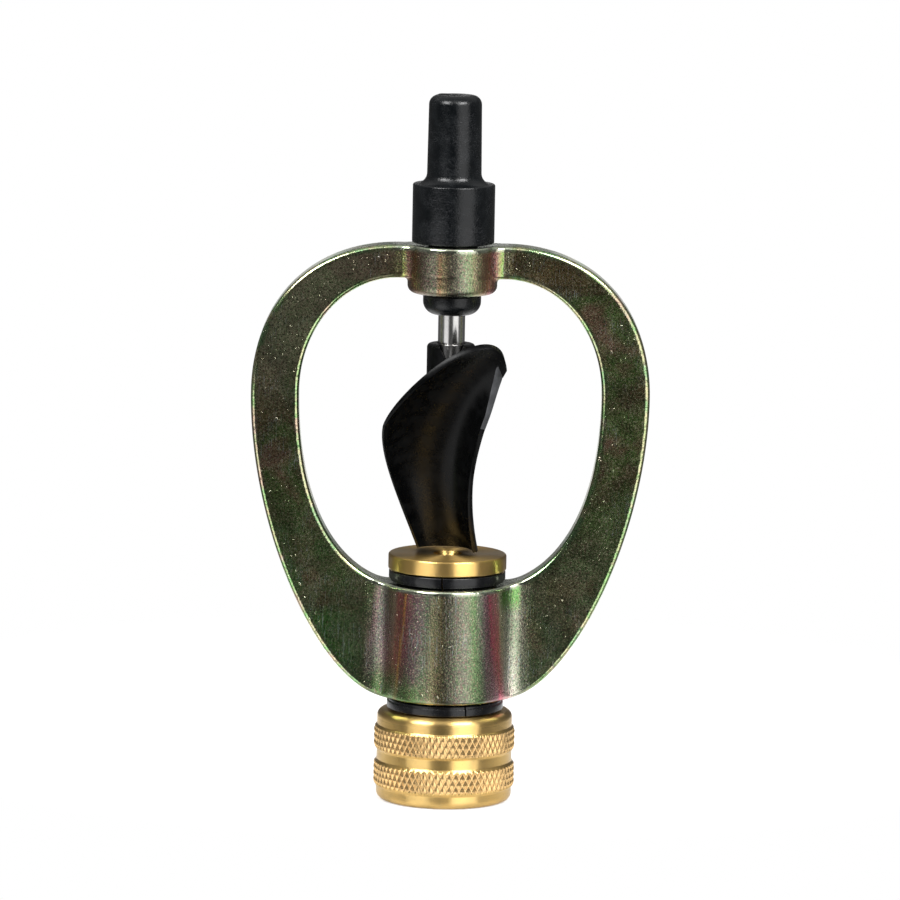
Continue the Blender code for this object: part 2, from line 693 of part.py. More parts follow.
def spinner(material):
    """The spinner: the scoop, and the hub that stands on its back, bored for the spindle and notched."""
    bm = bmesh.new()
    wet_face = scoop_grid(bm, (0.0, 1.0), (0.0, 1.0), 0.0)
    back_face = scoop_grid(bm, (0.0, 1.0), (0.0, 1.0), 1.0)
    thick_grid(wet_face, back_face, bm)
    obj = add_object("spinner", bm, material)
    hub_bottom = SPINNER_TOP - SPINNER_HUB_LENGTH
    hub = turn_profile(
        "spinner_hub",
        [
            (0.0, SPINNER_TOP, 0.0),
            (SPINNER_HUB_RADIUS, SPINNER_TOP, SPINNER_HUB_EDGE_ROUND),
            (SPINNER_HUB_RADIUS, hub_bottom, 0.0),
            (0.0, hub_bottom, 0.0),
        ],
        steps=SMALL_ROUND_STEPS,
    )
    over = SPINDLE_RADIUS
    add_boolean(hub, scoop_trough(), "DIFFERENCE")
    add_boolean(hub, hub_notch(over), "DIFFERENCE")
    add_boolean(obj, hub, "UNION")
    bore = turn_plug(
        "spinner_bore",
        SPINDLE_RADIUS + RUNNING_GAP,
        SPINDLE_BOTTOM - SEAT_GAP,
        SPINNER_TOP + over,
        SMALL_ROUND_STEPS,
    )
    add_boolean(obj, bore, "DIFFERENCE")
    return obj


def joint_empty(name, height, parent=None):
    """An empty on the axis that a moving body hangs from."""
    empty = bpy.data.objects.new(name, None)
    bpy.context.scene.collection.objects.link(empty)
    empty.location = (0.0, 0.0, height)
    hang(empty, parent)
    return empty


def hang(obj, parent):
    """Parents obj where it stands."""
    if parent:
        bpy.context.view_layer.update()
        obj.parent = parent
        obj.matrix_parent_inverse = parent.matrix_world.inverted()


def main():
    clear_scene()
    brass = make_material("brass", (0.60, 0.42, 0.16), 1.0, 0.28)
    zinc = make_material("passivated_zinc", (0.36, 0.37, 0.25), 1.0, 0.32)
    black = make_material("black_moulding", (0.012, 0.013, 0.015), 0.0, 0.40)
    gloss = make_material("black_spinner", (0.008, 0.008, 0.009), 0.0, 0.18)
    steel = make_material("stainless_steel", (0.62, 0.61, 0.60), 1.0, 0.20)
    rubber = make_material("rubber", (0.02, 0.02, 0.02), 0.0, 0.75)

    inlet_body(brass)
    inlet_washer(rubber)
    nozzle(brass)

    frame_axis = joint_empty("frame_axis", HUB_BOTTOM)
    spindle_axis = joint_empty("spindle_axis", SPINDLE_BOTTOM, frame_axis)
    spinner_axis = joint_empty("spinner_axis", SPINNER_TOP, spindle_axis)
    on_frame = (
        bow_frame(zinc),
        bush("lower_bush", LOWER_FLANGE_Z, LOWER_FLANGE_THICKNESS, False, LOWER_SLIT_ANGLE, black),
        bush("upper_bush", UPPER_FLANGE_Z, UPPER_FLANGE_THICKNESS, True, UPPER_SLIT_ANGLE, black),
        bearing_cap(black),
    )
    for obj in on_frame:
        hang(obj, frame_axis)
    hang(spindle(steel), spindle_axis)
    hang(spinner(gloss), spinner_axis)


main()
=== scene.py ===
"""Looks of the sprinkler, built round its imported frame.

Every piece is made here in millimetres and stored in metres, in the frame's own coordinates: +Z up, the bow
in the XZ plane and the spinner's scoop towards -Y.
"""

import math

import bmesh
import bpy
import numpy as np
from mathutils import Matrix, Vector

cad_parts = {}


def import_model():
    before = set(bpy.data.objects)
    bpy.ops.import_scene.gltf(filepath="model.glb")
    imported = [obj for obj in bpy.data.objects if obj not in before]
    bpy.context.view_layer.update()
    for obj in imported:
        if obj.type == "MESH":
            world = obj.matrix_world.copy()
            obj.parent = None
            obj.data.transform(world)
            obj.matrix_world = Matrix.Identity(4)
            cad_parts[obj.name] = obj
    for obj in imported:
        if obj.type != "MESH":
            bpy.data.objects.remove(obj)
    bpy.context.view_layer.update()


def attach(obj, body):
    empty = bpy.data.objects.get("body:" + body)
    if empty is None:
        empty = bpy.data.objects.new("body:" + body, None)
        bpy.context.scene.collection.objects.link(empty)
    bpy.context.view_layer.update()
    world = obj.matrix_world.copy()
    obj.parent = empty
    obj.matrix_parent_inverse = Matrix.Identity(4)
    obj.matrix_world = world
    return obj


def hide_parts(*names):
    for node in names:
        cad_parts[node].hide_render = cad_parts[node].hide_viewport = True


MM = 0.001
WELD, SLIVER = 0.002, 0.001  # in millimetres: closer points are joined, shorter edges dissolved
SHARP_ANGLE = math.radians(32)  # faces that meet at more than this keep a sharp edge
EDGE_SHARE = 0.98  # of an edge, the most that the roundings at its ends take up

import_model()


# Meshes


def make_mesh(name, points, faces, normals=None):
    """An object from arrays of points, in millimetres, and faces. Given normals are kept as they are."""
    mesh = bpy.data.meshes.new(name)
    mesh.from_pydata((np.asarray(points) * MM).tolist(), [], [list(map(int, f)) for f in faces])
    if normals is None:
        bm = bmesh.new()
        bm.from_mesh(mesh)
        bmesh.ops.remove_doubles(bm, verts=bm.verts, dist=WELD * MM)
        bmesh.ops.dissolve_degenerate(bm, edges=bm.edges, dist=SLIVER * MM)
        bmesh.ops.recalc_face_normals(bm, faces=bm.faces)
        bm.to_mesh(mesh)
        bm.free()
        mesh.shade_smooth()
        mesh.set_sharp_from_angle(angle=SHARP_ANGLE)
    else:
        mesh.shade_smooth()
        mesh.normals_split_custom_set_from_vertices(normals.tolist())
    return add(name, mesh)


def add(name, data):
    """A new object in the scene."""
    obj = bpy.data.objects.new(name, data)
    bpy.context.scene.collection.objects.link(obj)
    return obj


def corner_frame(corners, index):
    """A corner of a profile, the unit ways to its neighbours, their distances and half the angle between."""
    here = np.array(corners[index][:2], float)
    before = np.array(corners[index - 1][:2], float) - here
    after = np.array(corners[(index + 1) % len(corners)][:2], float) - here
    lengths = np.linalg.norm(before), np.linalg.norm(after)
    before, after = before / lengths[0], after / lengths[1]
    return here, before, after, lengths, math.acos(max(-1.0, min(1.0, before @ after))) / 2


def outline(corners, closed=False, turn=math.radians(9)):
    """Corners (radius, height, rounding) as profile points, with an arc in steps of turn at each rounding.
    Two roundings that want more than the edge between them share it in proportion."""
    count = len(corners)
    wanted = [0.0] * count
    for i, corner in enumerate(corners):
        if corner[2] and (closed or 0 < i < count - 1):
            wanted[i] = corner[2] / math.tan(corner_frame(corners, i)[4])
    points = []
    for i in range(count):
        here, before, after, lengths, half = corner_frame(corners, i)
        if not wanted[i]:
            points.append(here)
            continue
        room = EDGE_SHARE * lengths[0] / (wanted[i] + wanted[i - 1])
        room = min(room, EDGE_SHARE * lengths[1] / (wanted[i] + wanted[(i + 1) % count]))
        tangent = wanted[i] * min(1.0, room)
        bisector = (before + after) / np.linalg.norm(before + after)
        centre = here + bisector * tangent / math.cos(half)
        start, end = here + before * tangent - centre, here + after * tangent - centre
        sweep = math.atan2(start[0] * end[1] - start[1] * end[0], start @ end)
        steps = max(2, math.ceil(abs(sweep) / turn))
        for step in range(steps + 1):
            c, s = math.cos(sweep * step / steps), math.sin(sweep * step / steps)
            points.append(centre + np.array((start[0] * c - start[1] * s, start[0] * s + start[1] * c)))
    return np.array(points)


def subdivide(profile, bottom, top, step):
    """The same profile with its runs between two heights cut into short steps."""
    points = [profile[0]]
    for before, after in zip(profile[:-1], profile[1:]):
        middle = (before[1] + after[1]) / 2
        parts = max(1, round(abs(after[1] - before[1]) / step)) if bottom <= middle <= top else 1
        points += [before + (after - before) * k / parts for k in range(1, parts + 1)]
    return np.array(points)


def lathe(name, profile, columns=144, closed=False, shape=None, gap=None):
    """A profile turned about the axis. shape(angle, radius, height) moves the surface, and gap, an angle and
    a width at the rim, leaves a slit through it."""
    if gap:
        half = gap[1] / 2 / profile[:, 0].max()
        angles = np.linspace(gap[0] + half, gap[0] + 2 * math.pi - half, columns)
    else:
        angles = np.arange(columns) * 2 * math.pi / columns
    angle, radius = np.meshgrid(angles, profile[:, 0])
    height = np.repeat(profile[:, 1][:, None], columns, axis=1)
    if shape:
        radius, height = shape(angle, radius, height)
    points = np.stack((radius * np.cos(angle), radius * np.sin(angle), height), axis=-1).reshape(-1, 3)
    rows = len(profile)
    row = np.arange(rows if closed else rows - 1)[:, None]
    column = np.arange(columns - 1 if gap else columns)[None, :]
    above, after = (row + 1) % rows, (column + 1) % columns
    row, above = row * columns, above * columns
    corners = (row + column, row + after, above + after, above + column)
    faces = np.stack(np.broadcast_arrays(*corners), axis=-1).reshape(-1, 4).tolist()
    if gap:
        faces += [[i * columns + side for i in range(rows)] for side in (0, columns - 1)]
    return make_mesh(name, points, faces)


def place(obj, material, body, node, slot, second=None):
    """Gives a piece its materials and its body, and hides the imported node that it stands for. slot is not
    used.
    """
    chosen = [face.material_index for face in obj.data.polygons]
    obj.data.materials.clear()
    for item in filter(None, (material, second)):
        obj.data.materials.append(item)
    obj.data.polygons.foreach_set("material_index", chosen)
    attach(obj, body)
    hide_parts(node)


def cut(obj, tool, operation):
    """Joins or cuts obj with another mesh, which is then removed."""
    modifier = obj.modifiers.new("cut", "BOOLEAN")
    modifier.operation = operation
    modifier.solver = "EXACT"
    modifier.object = tool
    apply_modifiers(obj)
    bpy.data.objects.remove(tool)


def apply_modifiers(obj):
    """Replaces obj's mesh by what its modifiers make of it."""
    bpy.context.view_layer.update()
    graph = bpy.context.evaluated_depsgraph_get()
    mesh = bpy.data.meshes.new_from_object(obj.evaluated_get(graph), depsgraph=graph)
    obj.modifiers.clear()
    obj.data = mesh


# Distance fields: pairs of the signed distance to a surface, below 0 inside, and the way that it grows

CHUNK = 4000  # points measured at a time, to spare memory
TINY = 1e-9  # keeps divisors away from 0


def larger(a, b, rounding=0.0):
    """What lies in both a and b, with the edge between them rounded."""
    return join_fields(a, b, rounding, 1.0)


def smaller(a, b, rounding=0.0):
    """What lies in a or b, with the corner between them filled by a round."""
    return join_fields(a, b, rounding, -1.0)


def either(choice, a, b):
    """Field a where choice holds, and b elsewhere."""
    return np.where(choice, a[0], b[0]), np.where(choice[..., None], a[1], b[1])


def unit(vectors):
    """The same vectors with a length of 1."""
    return vectors / np.linalg.norm(vectors, axis=-1)[..., None]


def join_fields(a, b, rounding, way):
    """The larger of two fields where way is 1, the smaller where it is -1."""
    (da, ga), (db, gb) = a, b
    da, db = way * da, way * db
    first = da > db
    value = np.where(first, da, db)
    slope = np.where(first[..., None], ga, gb)
    if rounding:
        pa, pb = np.maximum(rounding + da, 0), np.maximum(rounding + db, 0)
        length = np.hypot(pa, pb)
        near = (pa > 0) & (pb > 0)
        value = np.where(near, length - rounding, value)
        blend = (pa[..., None] * ga + pb[..., None] * gb) / np.maximum(length, TINY)[..., None]
        slope = np.where(near[..., None], blend, slope)
    return way * value, slope


def cylinder(p, radius):
    """The field of a cylinder about the axis."""
    spread = np.maximum(np.hypot(p[..., 0], p[..., 1]), TINY)
    slope = np.stack((p[..., 0] / spread, p[..., 1] / spread, np.zeros_like(spread)), axis=-1)
    return spread - radius, slope


def slab(p, bottom, top):
    """The field of what lies between two heights."""
    middle = (bottom + top) / 2
    slope = np.zeros_like(p)
    slope[..., 2] = np.where(p[..., 2] > middle, 1.0, -1.0)
    return np.abs(p[..., 2] - middle) - (top - bottom) / 2, slope


def bezier(points, t):
    """A cubic curve through its first and last of four points."""
    p = np.array(points, float)
    t = np.asarray(t)[:, None]
    return (1 - t) ** 3 * p[0] + 3 * (1 - t) ** 2 * t * p[1] + 3 * (1 - t) * t**2 * p[2] + t**3 * p[3]


class Contour:
    """Right half of an outline that is symmetric about the Z axis, as fine segments with smooth normals."""

    def __init__(self, points, way):
        self.start, self.along = points[:-1], points[1:] - points[:-1]
        side = unit(np.stack((self.along[:, 1], -self.along[:, 0]), axis=1) * way)
        self.normal = unit(np.concatenate((side[:1], side[:-1] + side[1:], side[-1:])))

    def distance(self, x, z):
        """The distance and slope at points given by |x| and z, over 0 where the normals point to."""
        along = self.along[None]
        square = (along**2).sum(2)
        distance, slope = np.empty(len(x)), np.empty((len(x), 2))
        for low in range(0, len(x), CHUNK):
            part = slice(low, low + CHUNK)
            off = np.stack((x[part], z[part]), axis=1)[:, None, :] - self.start[None]
            t = np.clip((off * along).sum(2) / square, 0, 1)
            gap = off - t[..., None] * along
            reach = (gap**2).sum(2)
            best = reach.argmin(1)
            row = np.arange(len(best))
            share = t[row, best][:, None]
            normal = self.normal[best] * (1 - share) + self.normal[best + 1] * share
            sign = np.sign((gap[row, best] * normal).sum(1))
            distance[part] = np.sqrt(reach[row, best]) * np.where(sign == 0, 1, sign)
            slope[part] = unit(normal)
        return distance, slope


def surface_net(field, origin, step):
    """Points and quads of the surface on which a gridded field is zero."""
    inside = field < 0
    nx, ny, nz = np.array(field.shape) - 1
    corner = [(i, j, k) for i in (0, 1) for j in (0, 1) for k in (0, 1)]
    views = (inside[i : i + nx, j : j + ny, k : k + nz] for i, j, k in corner)
    count = sum(view.astype(np.int8) for view in views)
    active = (count > 0) & (count < 8)
    cells = np.argwhere(active)
    total, crossings = np.zeros((len(cells), 3)), np.zeros(len(cells))
    for a in corner:
        for b in corner:
            if sum(b) - sum(a) != 1 or any(q < p for p, q in zip(a, b)):
                continue
            va = field[tuple((cells + a).T)].astype(float)
            vb = field[tuple((cells + b).T)].astype(float)
            crossed = (va < 0) != (vb < 0)
            share = np.where(crossed, va / np.where(crossed, va - vb, 1.0), 0.0)
            where = np.array(a) + share[:, None] * (np.array(b) - np.array(a))
            total += where * crossed[:, None]
            crossings += crossed
    points = origin + step * (cells + total / crossings[:, None])
    number = np.full(active.shape, -1, np.int64)
    number[active] = np.arange(len(cells))
    quads = []
    for axis in range(3):
        u, v = (k for k in range(3) if k != axis)
        low, high = [slice(None)] * 3, [slice(None)] * 3
        low[axis], high[axis] = slice(0, -1), slice(1, None)
        a, b = inside[tuple(low)], inside[tuple(high)]
        edges = np.argwhere(a != b)
        edges = edges[(edges[:, u] > 0) & (edges[:, v] > 0)]
        edges = edges[(edges[:, u] < field.shape[u] - 1) & (edges[:, v] < field.shape[v] - 1)]
        leaving = a[tuple(edges.T)]
        eu, ev = np.zeros(3, int), np.zeros(3, int)
        eu[u], ev[v] = 1, 1
        ring = [number[tuple((edges - o).T)] for o in (0 * eu, eu, eu + ev, ev)]
        quad = np.stack(ring, axis=1)
        flip = leaving if axis != 1 else ~leaving
        quads.append(np.where(flip[:, None], quad, quad[:, ::-1]))
    return points, np.concatenate(quads)


# Bow. Its sizes are in millimetres.

BOW_HALF_DEPTH, BOW_EDGE = 3.1, 0.8
BOW_TOP, BOW_UNDER, BOW_WAIST, BOW_FLOOR, BOW_FOOT = 106.6, 100.3, 78.0, 41.9, 19.8
BOW_OUTER_X, BOW_INNER_X = 37.8, 28.7
# How far an edge's curves pull: at the top, above the waist, below it and at the foot
OUTER_PULLS = 17.0, 16.9, 27.2, 12.4
INNER_PULLS = 9.9, 13.2, 31.4, 3.0
HUB_RADIUS, HUB_FILLET, HUB_BORE = 11.9, 4.5, 9.7
COLLAR_RADIUS, COLLAR_FILLET, COLLAR_BORE, COLLAR_BOTTOM = 8.5, 3.5, 5.0, 97.3
# The collar is two lengths that overlap, each short of the other end and with a rounding of its own
COLLAR_FOOT_SHORT, COLLAR_FOOT_EDGE = 3.5, 1.5
COLLAR_HEAD_SHORT, COLLAR_HEAD_EDGE = 4.0, 0.6
COLLAR_BLEND, BORE_EDGE = 1.0, 0.25
CURVE_POINTS = 110
GRID_STEP, GRID_LOW, GRID_HIGH = 0.32, (-38.6, -12.6, 19.1), (38.6, 12.6, 107.4)
SETTLING_ROUNDS = 3  # of moving the net's points onto the exact surface
MARGIN_LIMIT = 20.0  # the deepest that the distance from the bow's edges is kept


def fillet_centre(radius, fillet):
    """Where the fillet between a round boss and the bow's flat face is centred, in plan."""
    across = BOW_HALF_DEPTH + fillet
    return math.sqrt((radius + fillet) ** 2 - across**2), across


def flank(top, waist_x, bottom, pulls, way):
    """One edge of an arm, from the axis at the top out to the waist and back to the axis at the bottom."""
    collar_x = fillet_centre(COLLAR_RADIUS, COLLAR_FILLET)[0]
    hub_x = fillet_centre(HUB_RADIUS, HUB_FILLET)[0] * HUB_RADIUS / (HUB_RADIUS + HUB_FILLET)
    waist = (waist_x, BOW_WAIST)
    upper = (collar_x, top), (collar_x + pulls[0], top), (waist_x, BOW_WAIST + pulls[1]), waist
    lower = waist, (waist_x, BOW_WAIST - pulls[2]), (hub_x + pulls[3], bottom), (hub_x, bottom)
    t = np.linspace(0, 1, CURVE_POINTS)
    points = ([(0.0, top)], bezier(upper, t), bezier(lower, t)[1:], [(0.0, bottom)])
    return Contour(np.concatenate(points), way)


def bow_contours():
    """The outer and the inner edge."""
    outer = flank(BOW_TOP, BOW_OUTER_X, BOW_FOOT, OUTER_PULLS, -1.0)
    return outer, flank(BOW_UNDER, BOW_INNER_X, BOW_FLOOR, INNER_PULLS, 1.0)


def ring_field(contours, x, z):
    """The bow's outline in the XZ plane, over flat arrays of x and z."""
    side = np.where(x < 0, -1.0, 1.0)
    fields = []
    for contour in contours:
        distance, slope = contour.distance(np.abs(x), z)
        fields.append((distance, np.stack((slope[:, 0] * side, np.zeros_like(x), slope[:, 1]), axis=1)))
    return larger(*fields)


def plan_field(p, radius, fillet):
    """A round boss that runs out through fillets into the bow's flat faces, the same at every height."""
    x, y = np.abs(p[..., 0]), np.abs(p[..., 1])
    side_x, side_y = np.where(p[..., 0] < 0, -1.0, 1.0), np.where(p[..., 1] < 0, -1.0, 1.0)
    cx, cy = fillet_centre(radius, fillet)
    spread = np.maximum(np.hypot(x, y), TINY)
    off = np.maximum(np.hypot(x - cx, y - cy), TINY)
    on_boss = cx * y - cy * x > 0
    on_face = ~on_boss & (x >= cx)
    value = np.where(on_boss, spread - radius, np.where(on_face, y - BOW_HALF_DEPTH, fillet - off))
    gx = np.where(on_boss, x / spread, np.where(on_face, 0.0, (cx - x) / off))
    gy = np.where(on_boss, y / spread, np.where(on_face, 1.0, (cy - y) / off))
    return value, np.stack((gx * side_x, gy * side_y, np.zeros_like(gx)), axis=-1)


def bow_field(p, ring):
    """The whole casting at points p, where ring is its outline's field at the same points."""
    hub = plan_field(p, HUB_RADIUS, HUB_FILLET)
    collar = plan_field(p, COLLAR_RADIUS, COLLAR_FILLET)
    upper = p[..., 2] > (BOW_UNDER + BOW_FLOOR) / 2
    solid = larger(ring, either(upper, collar, hub), BOW_EDGE)
    side = np.where(p[..., 1] < 0, -1.0, 1.0)
    face = np.abs(p[..., 1]) - BOW_HALF_DEPTH, np.stack((0 * side, side, 0 * side), axis=-1)
    arms = larger(ring, face, BOW_EDGE)
    post = cylinder(p, COLLAR_RADIUS)
    foot = larger(post, slab(p, COLLAR_BOTTOM, BOW_TOP - COLLAR_FOOT_SHORT), COLLAR_FOOT_EDGE)
    head = larger(post, slab(p, COLLAR_BOTTOM + COLLAR_HEAD_SHORT, BOW_TOP), COLLAR_HEAD_EDGE)
    solid = smaller(smaller(solid, smaller(arms, foot, COLLAR_BLEND)), head)
    bore = either(upper, cylinder(p, COLLAR_BORE), cylinder(p, HUB_BORE))
    return larger(solid, (-bore[0], -bore[1]), BORE_EDGE)


def bow():
    """The casting as a net over its field, with the field's own slopes as normals."""
    low = np.array(GRID_LOW)
    counts = np.ceil((np.array(GRID_HIGH) - low) / GRID_STEP).astype(int) + 1
    axes = [low[k] + GRID_STEP * np.arange(counts[k]) for k in range(3)]
    contours = bow_contours()
    gx, gz = np.meshgrid(axes[0], axes[2], indexing="ij")
    ring_value, ring_slope = ring_field(contours, gx.ravel(), gz.ravel())
    ring = ring_value.reshape(gx.shape), ring_slope.reshape(*gx.shape, 3)
    field = np.empty(counts, np.float32)
    for j, y in enumerate(axes[1]):
        p = np.stack((gx, np.full_like(gx, y), gz), axis=-1)
        field[:, j, :] = bow_field(p, ring)[0]
    points, quads = surface_net(field, low, GRID_STEP)
    for settling in range(SETTLING_ROUNDS + 1):
        ring = ring_field(contours, points[:, 0], points[:, 2])
        value, slope = bow_field(points, ring)
        if settling < SETTLING_ROUNDS:
            points = points - value[:, None] * slope
    obj = make_mesh("bow_casting", points, quads, normals=slope)
    margin = obj.data.attributes.new("margin", "FLOAT", "POINT")
    margin.data.foreach_set("value", np.clip(-ring[0], 0, MARGIN_LIMIT).astype(np.float32))
    return obj


# Turned and moulded pieces. Profiles are corners: radius, height and rounding.

SOCKET_RADIUS = 9.4
KNURL_TEETH, KNURL_LEAD = 68, 2.4
KNURL_ROOT, KNURL_DEPTH = 13.16, 0.32
KNURL_BOTTOM, KNURL_TOP = 2.0, 15.6
KNURL_FREE = 12.95  # what lies within this radius keeps its round form
THREAD_PITCH, THREAD_DEPTH = 1.814, 0.95
THREAD_BOTTOM, THREAD_TOP = 0.8, 9.1
THREAD_RISE, THREAD_RUN_OUT = 0.6, 0.9
THREAD_SLOPE, THREAD_LAND, THREAD_NEAR = 1.35, 0.12, 0.01
CARVED_BOTTOM, CARVED_TOP, CARVED_STEP = 0.6, 14.9, 0.2
BUSH_BORE, BUSH_RADIUS, SLEEVE_RADIUS, SLEEVE_LENGTH = 8.15, 11.1, 9.4, 8.3
BUSH_STEP_RADIUS, BUSH_STEP, BUSH_SLIT = 10.8, 0.5, 0.3
CAP_TOP, CAP_TOP_FACE, CAP_TOP_RADIUS = 134.88, 134.6, 4.6
WAVE_DEPTH, WAVE_BOTTOM, WAVE_RADIUS = 0.02, 107.5, 4.0
SCAR_X, SCAR_Y, SCAR_RADIUS = -0.6, -0.6, 1.4
TEAR_X, TEAR_Y, TEAR_RADIUS = -2.3, 1.2, 1.2
MARK_FULL, MARK_LOW, MARK_HIGH = 0.4, -0.2, 0.12  # how far in a mark is full, and its limits in height


def triangle(t):
    """A wave with sharp crests of 1 at the half numbers and sharp valleys of 0 between."""
    return 1 - np.abs(2 * (t - np.floor(t)) - 1)


def inlet_shape(angle, radius, height):
    """Cuts the diamond knurls into the two bands and the pipe thread into the socket."""
    turn = KNURL_TEETH * angle / (2 * math.pi)
    crest = np.minimum(triangle(turn + height / KNURL_LEAD), triangle(turn - height / KNURL_LEAD))
    outside = (radius > KNURL_FREE) & (height > KNURL_BOTTOM) & (height < KNURL_TOP)
    radius = np.where(outside, np.minimum(radius, KNURL_ROOT + KNURL_DEPTH * crest), radius)
    screw = triangle(height / THREAD_PITCH - angle / (2 * math.pi))
    groove = THREAD_DEPTH * np.clip(screw * THREAD_SLOPE - THREAD_LAND, 0, 1)
    on_wall = np.abs(radius - SOCKET_RADIUS) < THREAD_NEAR
    inside = on_wall & (height > THREAD_BOTTOM) & (height < THREAD_TOP)
    rise = np.clip((height - THREAD_BOTTOM) / THREAD_RISE, 0, 1)
    run_out = np.clip((THREAD_TOP - height) / THREAD_RUN_OUT, 0, 1)
    return np.where(inside, SOCKET_RADIUS + groove * run_out * rise, radius), height


def inlet():
    """The coupling and the stem above it, which carries the bow."""
    corners = [
        (6.1, 44.2, 0.2), (8.0, 44.2, 0.4), (8.0, 17.3, 0.2), (12.9, 17.3, 1.3), (12.9, 14.5, 0.3),
        (13.5, 13.75, 0.25), (13.5, 10.35, 0.25), (12.9, 9.6, 0.3), (12.9, 7.7, 0.3), (13.5, 6.95, 0.25),
        (13.5, 3.3, 0.25), (12.9, 2.5, 0.3), (12.9, 0.0, 1.4), (10.5, 0.0, 0.2), (SOCKET_RADIUS, 1.1, 0.0),
        (SOCKET_RADIUS, 11.5, 0.0), (4.5, 11.5, 0.2), (4.5, 33.7, 0.0), (6.1, 33.7, 0.0),
    ]
    profile = outline(corners, closed=True, turn=math.radians(15))
    profile = np.concatenate((profile, profile[:1]))
    profile = subdivide(profile, CARVED_BOTTOM, CARVED_TOP, CARVED_STEP)[:-1]
    return lathe("inlet_coupling", profile, columns=12 * KNURL_TEETH, closed=True, shape=inlet_shape)


def washer():
    """The flat ring that the pipe's end seals on."""
    corners = [(5.6, 11.2, 0.15), (9.1, 11.2, 0.15), (9.1, 9.2, 0.15), (5.6, 9.2, 0.15)]
    return lathe("sealing_washer", outline(corners, closed=True), columns=120, closed=True)


def nozzle():
    """The flange with its countersunk orifice, and the spigot below it."""
    corners = [
        (2.0, 46.5, 0.12), (2.75, 47.4, 0.08), (11.25, 47.4, 0.4), (11.25, 44.5, 0.2), (5.8, 44.5, 0.2),
        (5.8, 34.0, 0.3), (4.2, 34.0, 0.2), (2.0, 45.5, 0.2),
    ]
    return lathe("nozzle_flange", outline(corners, closed=True), columns=180, closed=True)


def bush(name, hub_side, thickness, way, slit):
    """A flanged bush with a fine step beside the hub and a slit at an angle. way points out of the hub."""
    outer_side, step_side = hub_side + way * thickness, hub_side + way * BUSH_STEP
    sleeve_end = hub_side - way * SLEEVE_LENGTH
    corners = [
        (BUSH_BORE, outer_side, 0.15), (BUSH_RADIUS, outer_side, 0.22), (BUSH_RADIUS, step_side, 0.08),
        (BUSH_STEP_RADIUS, step_side, 0.06), (BUSH_STEP_RADIUS, hub_side, 0.12),
        (SLEEVE_RADIUS, hub_side, 0.2), (SLEEVE_RADIUS, sleeve_end, 0.2), (BUSH_BORE, sleeve_end, 0.2),
    ]
    gap = (math.radians(slit), BUSH_SLIT)
    return lathe(name, outline(corners, closed=True), columns=168, closed=True, gap=gap)


def cap_shape(angle, radius, height):
    """A torn gate mark on the cap's top, and the faint waviness of a moulding."""
    x, y = radius * np.cos(angle), radius * np.sin(angle)
    wave = WAVE_DEPTH * np.sin(3 * angle + height / 3.1) * (height > WAVE_BOTTOM) * (radius > WAVE_RADIUS)
    rough = 0.5 + 0.3 * np.sin(5 * x + 2 * y) + 0.2 * np.sin(9 * y - 4 * x)
    scar = np.clip(SCAR_RADIUS - np.hypot(x - SCAR_X, y - SCAR_Y), 0, MARK_FULL) * rough
    tear = np.clip(TEAR_RADIUS - np.hypot(x - TEAR_X, y - TEAR_Y), 0, MARK_FULL) * (0.6 + 0.4 * rough)
    on_top = (height > CAP_TOP_FACE) & (radius < CAP_TOP_RADIUS)
    lift = np.clip(0.3 * tear - 0.5 * scar, MARK_LOW, MARK_HIGH)
    return radius - np.abs(wave), height + np.where(on_top, lift, 0)


def cap():
    """The stepped plug with its blind bore and its nose. Corners on the top give the gate mark its points."""
    top = [(0.6 * k, CAP_TOP, 0.0) for k in range(6)]
    corners = top + [
        (5.0, CAP_TOP, 1.8), (5.2, 118.1, 2.0), (7.8, 118.1, 0.35), (7.8, 106.9, 0.3), (4.7, 106.9, 0.0),
        (4.7, 97.0, 0.0), (5.5, 97.0, 0.3), (5.5, 93.2, 2.6), (2.7, 93.2, 0.2), (2.7, 129.7, 0.0),
        (0.0, 129.7, 0.0),
    ]
    return lathe("bearing_housing", outline(corners), columns=144, shape=cap_shape)


def pin():
    """The spindle, with a fine groove at the top of the spinner's hub."""
    corners = [
        (0.0, 124.2, 0.0), (2.15, 124.2, 0.1), (2.55, 123.8, 0.1), (2.55, 87.85, 0.03), (2.4, 87.8, 0.03),
        (2.4, 87.6, 0.03), (2.55, 87.55, 0.03), (2.55, 78.1, 0.1), (2.15, 77.7, 0.1), (0.0, 77.7, 0.0),
    ]
    return lathe("spindle_pin", outline(corners), columns=96)


# Spinner. The scoop's net has four rows of points from its foot up, each from left to right.

SCOOP_NET = np.array(
    (
        ((-5.4, 4.0, 0.0), (-3.8, 7.8, 0.0), (6.2, 7.4, 0.0), (4.4, -1.4, 0.0)),
        ((-9.1, 2.5, 9.5), (-6.0, 7.2, 9.5), (3.8, 6.8, 10.0), (2.0, -3.4, 11.0)),
        ((-13.4, -2.0, 19.0), (-8.5, 4.6, 26.0), (3.0, 5.0, 33.0), (3.0, -5.6, 22.0)),
        ((-12.2, -9.0, 25.0), (-9.8, -12.0, 31.5), (9.6, -14.5, 48.5), (10.6, -8.5, 36.0)),
    )
)
SCOOP_FOOT, SCOOP_COLUMNS, SCOOP_ROWS = 47.7, 61, 91
SCOOP_WALL, SCOOP_THINNING = 1.2, 0.7
RIM_START = 0.8  # the share of the width from which the right rim is pushed out
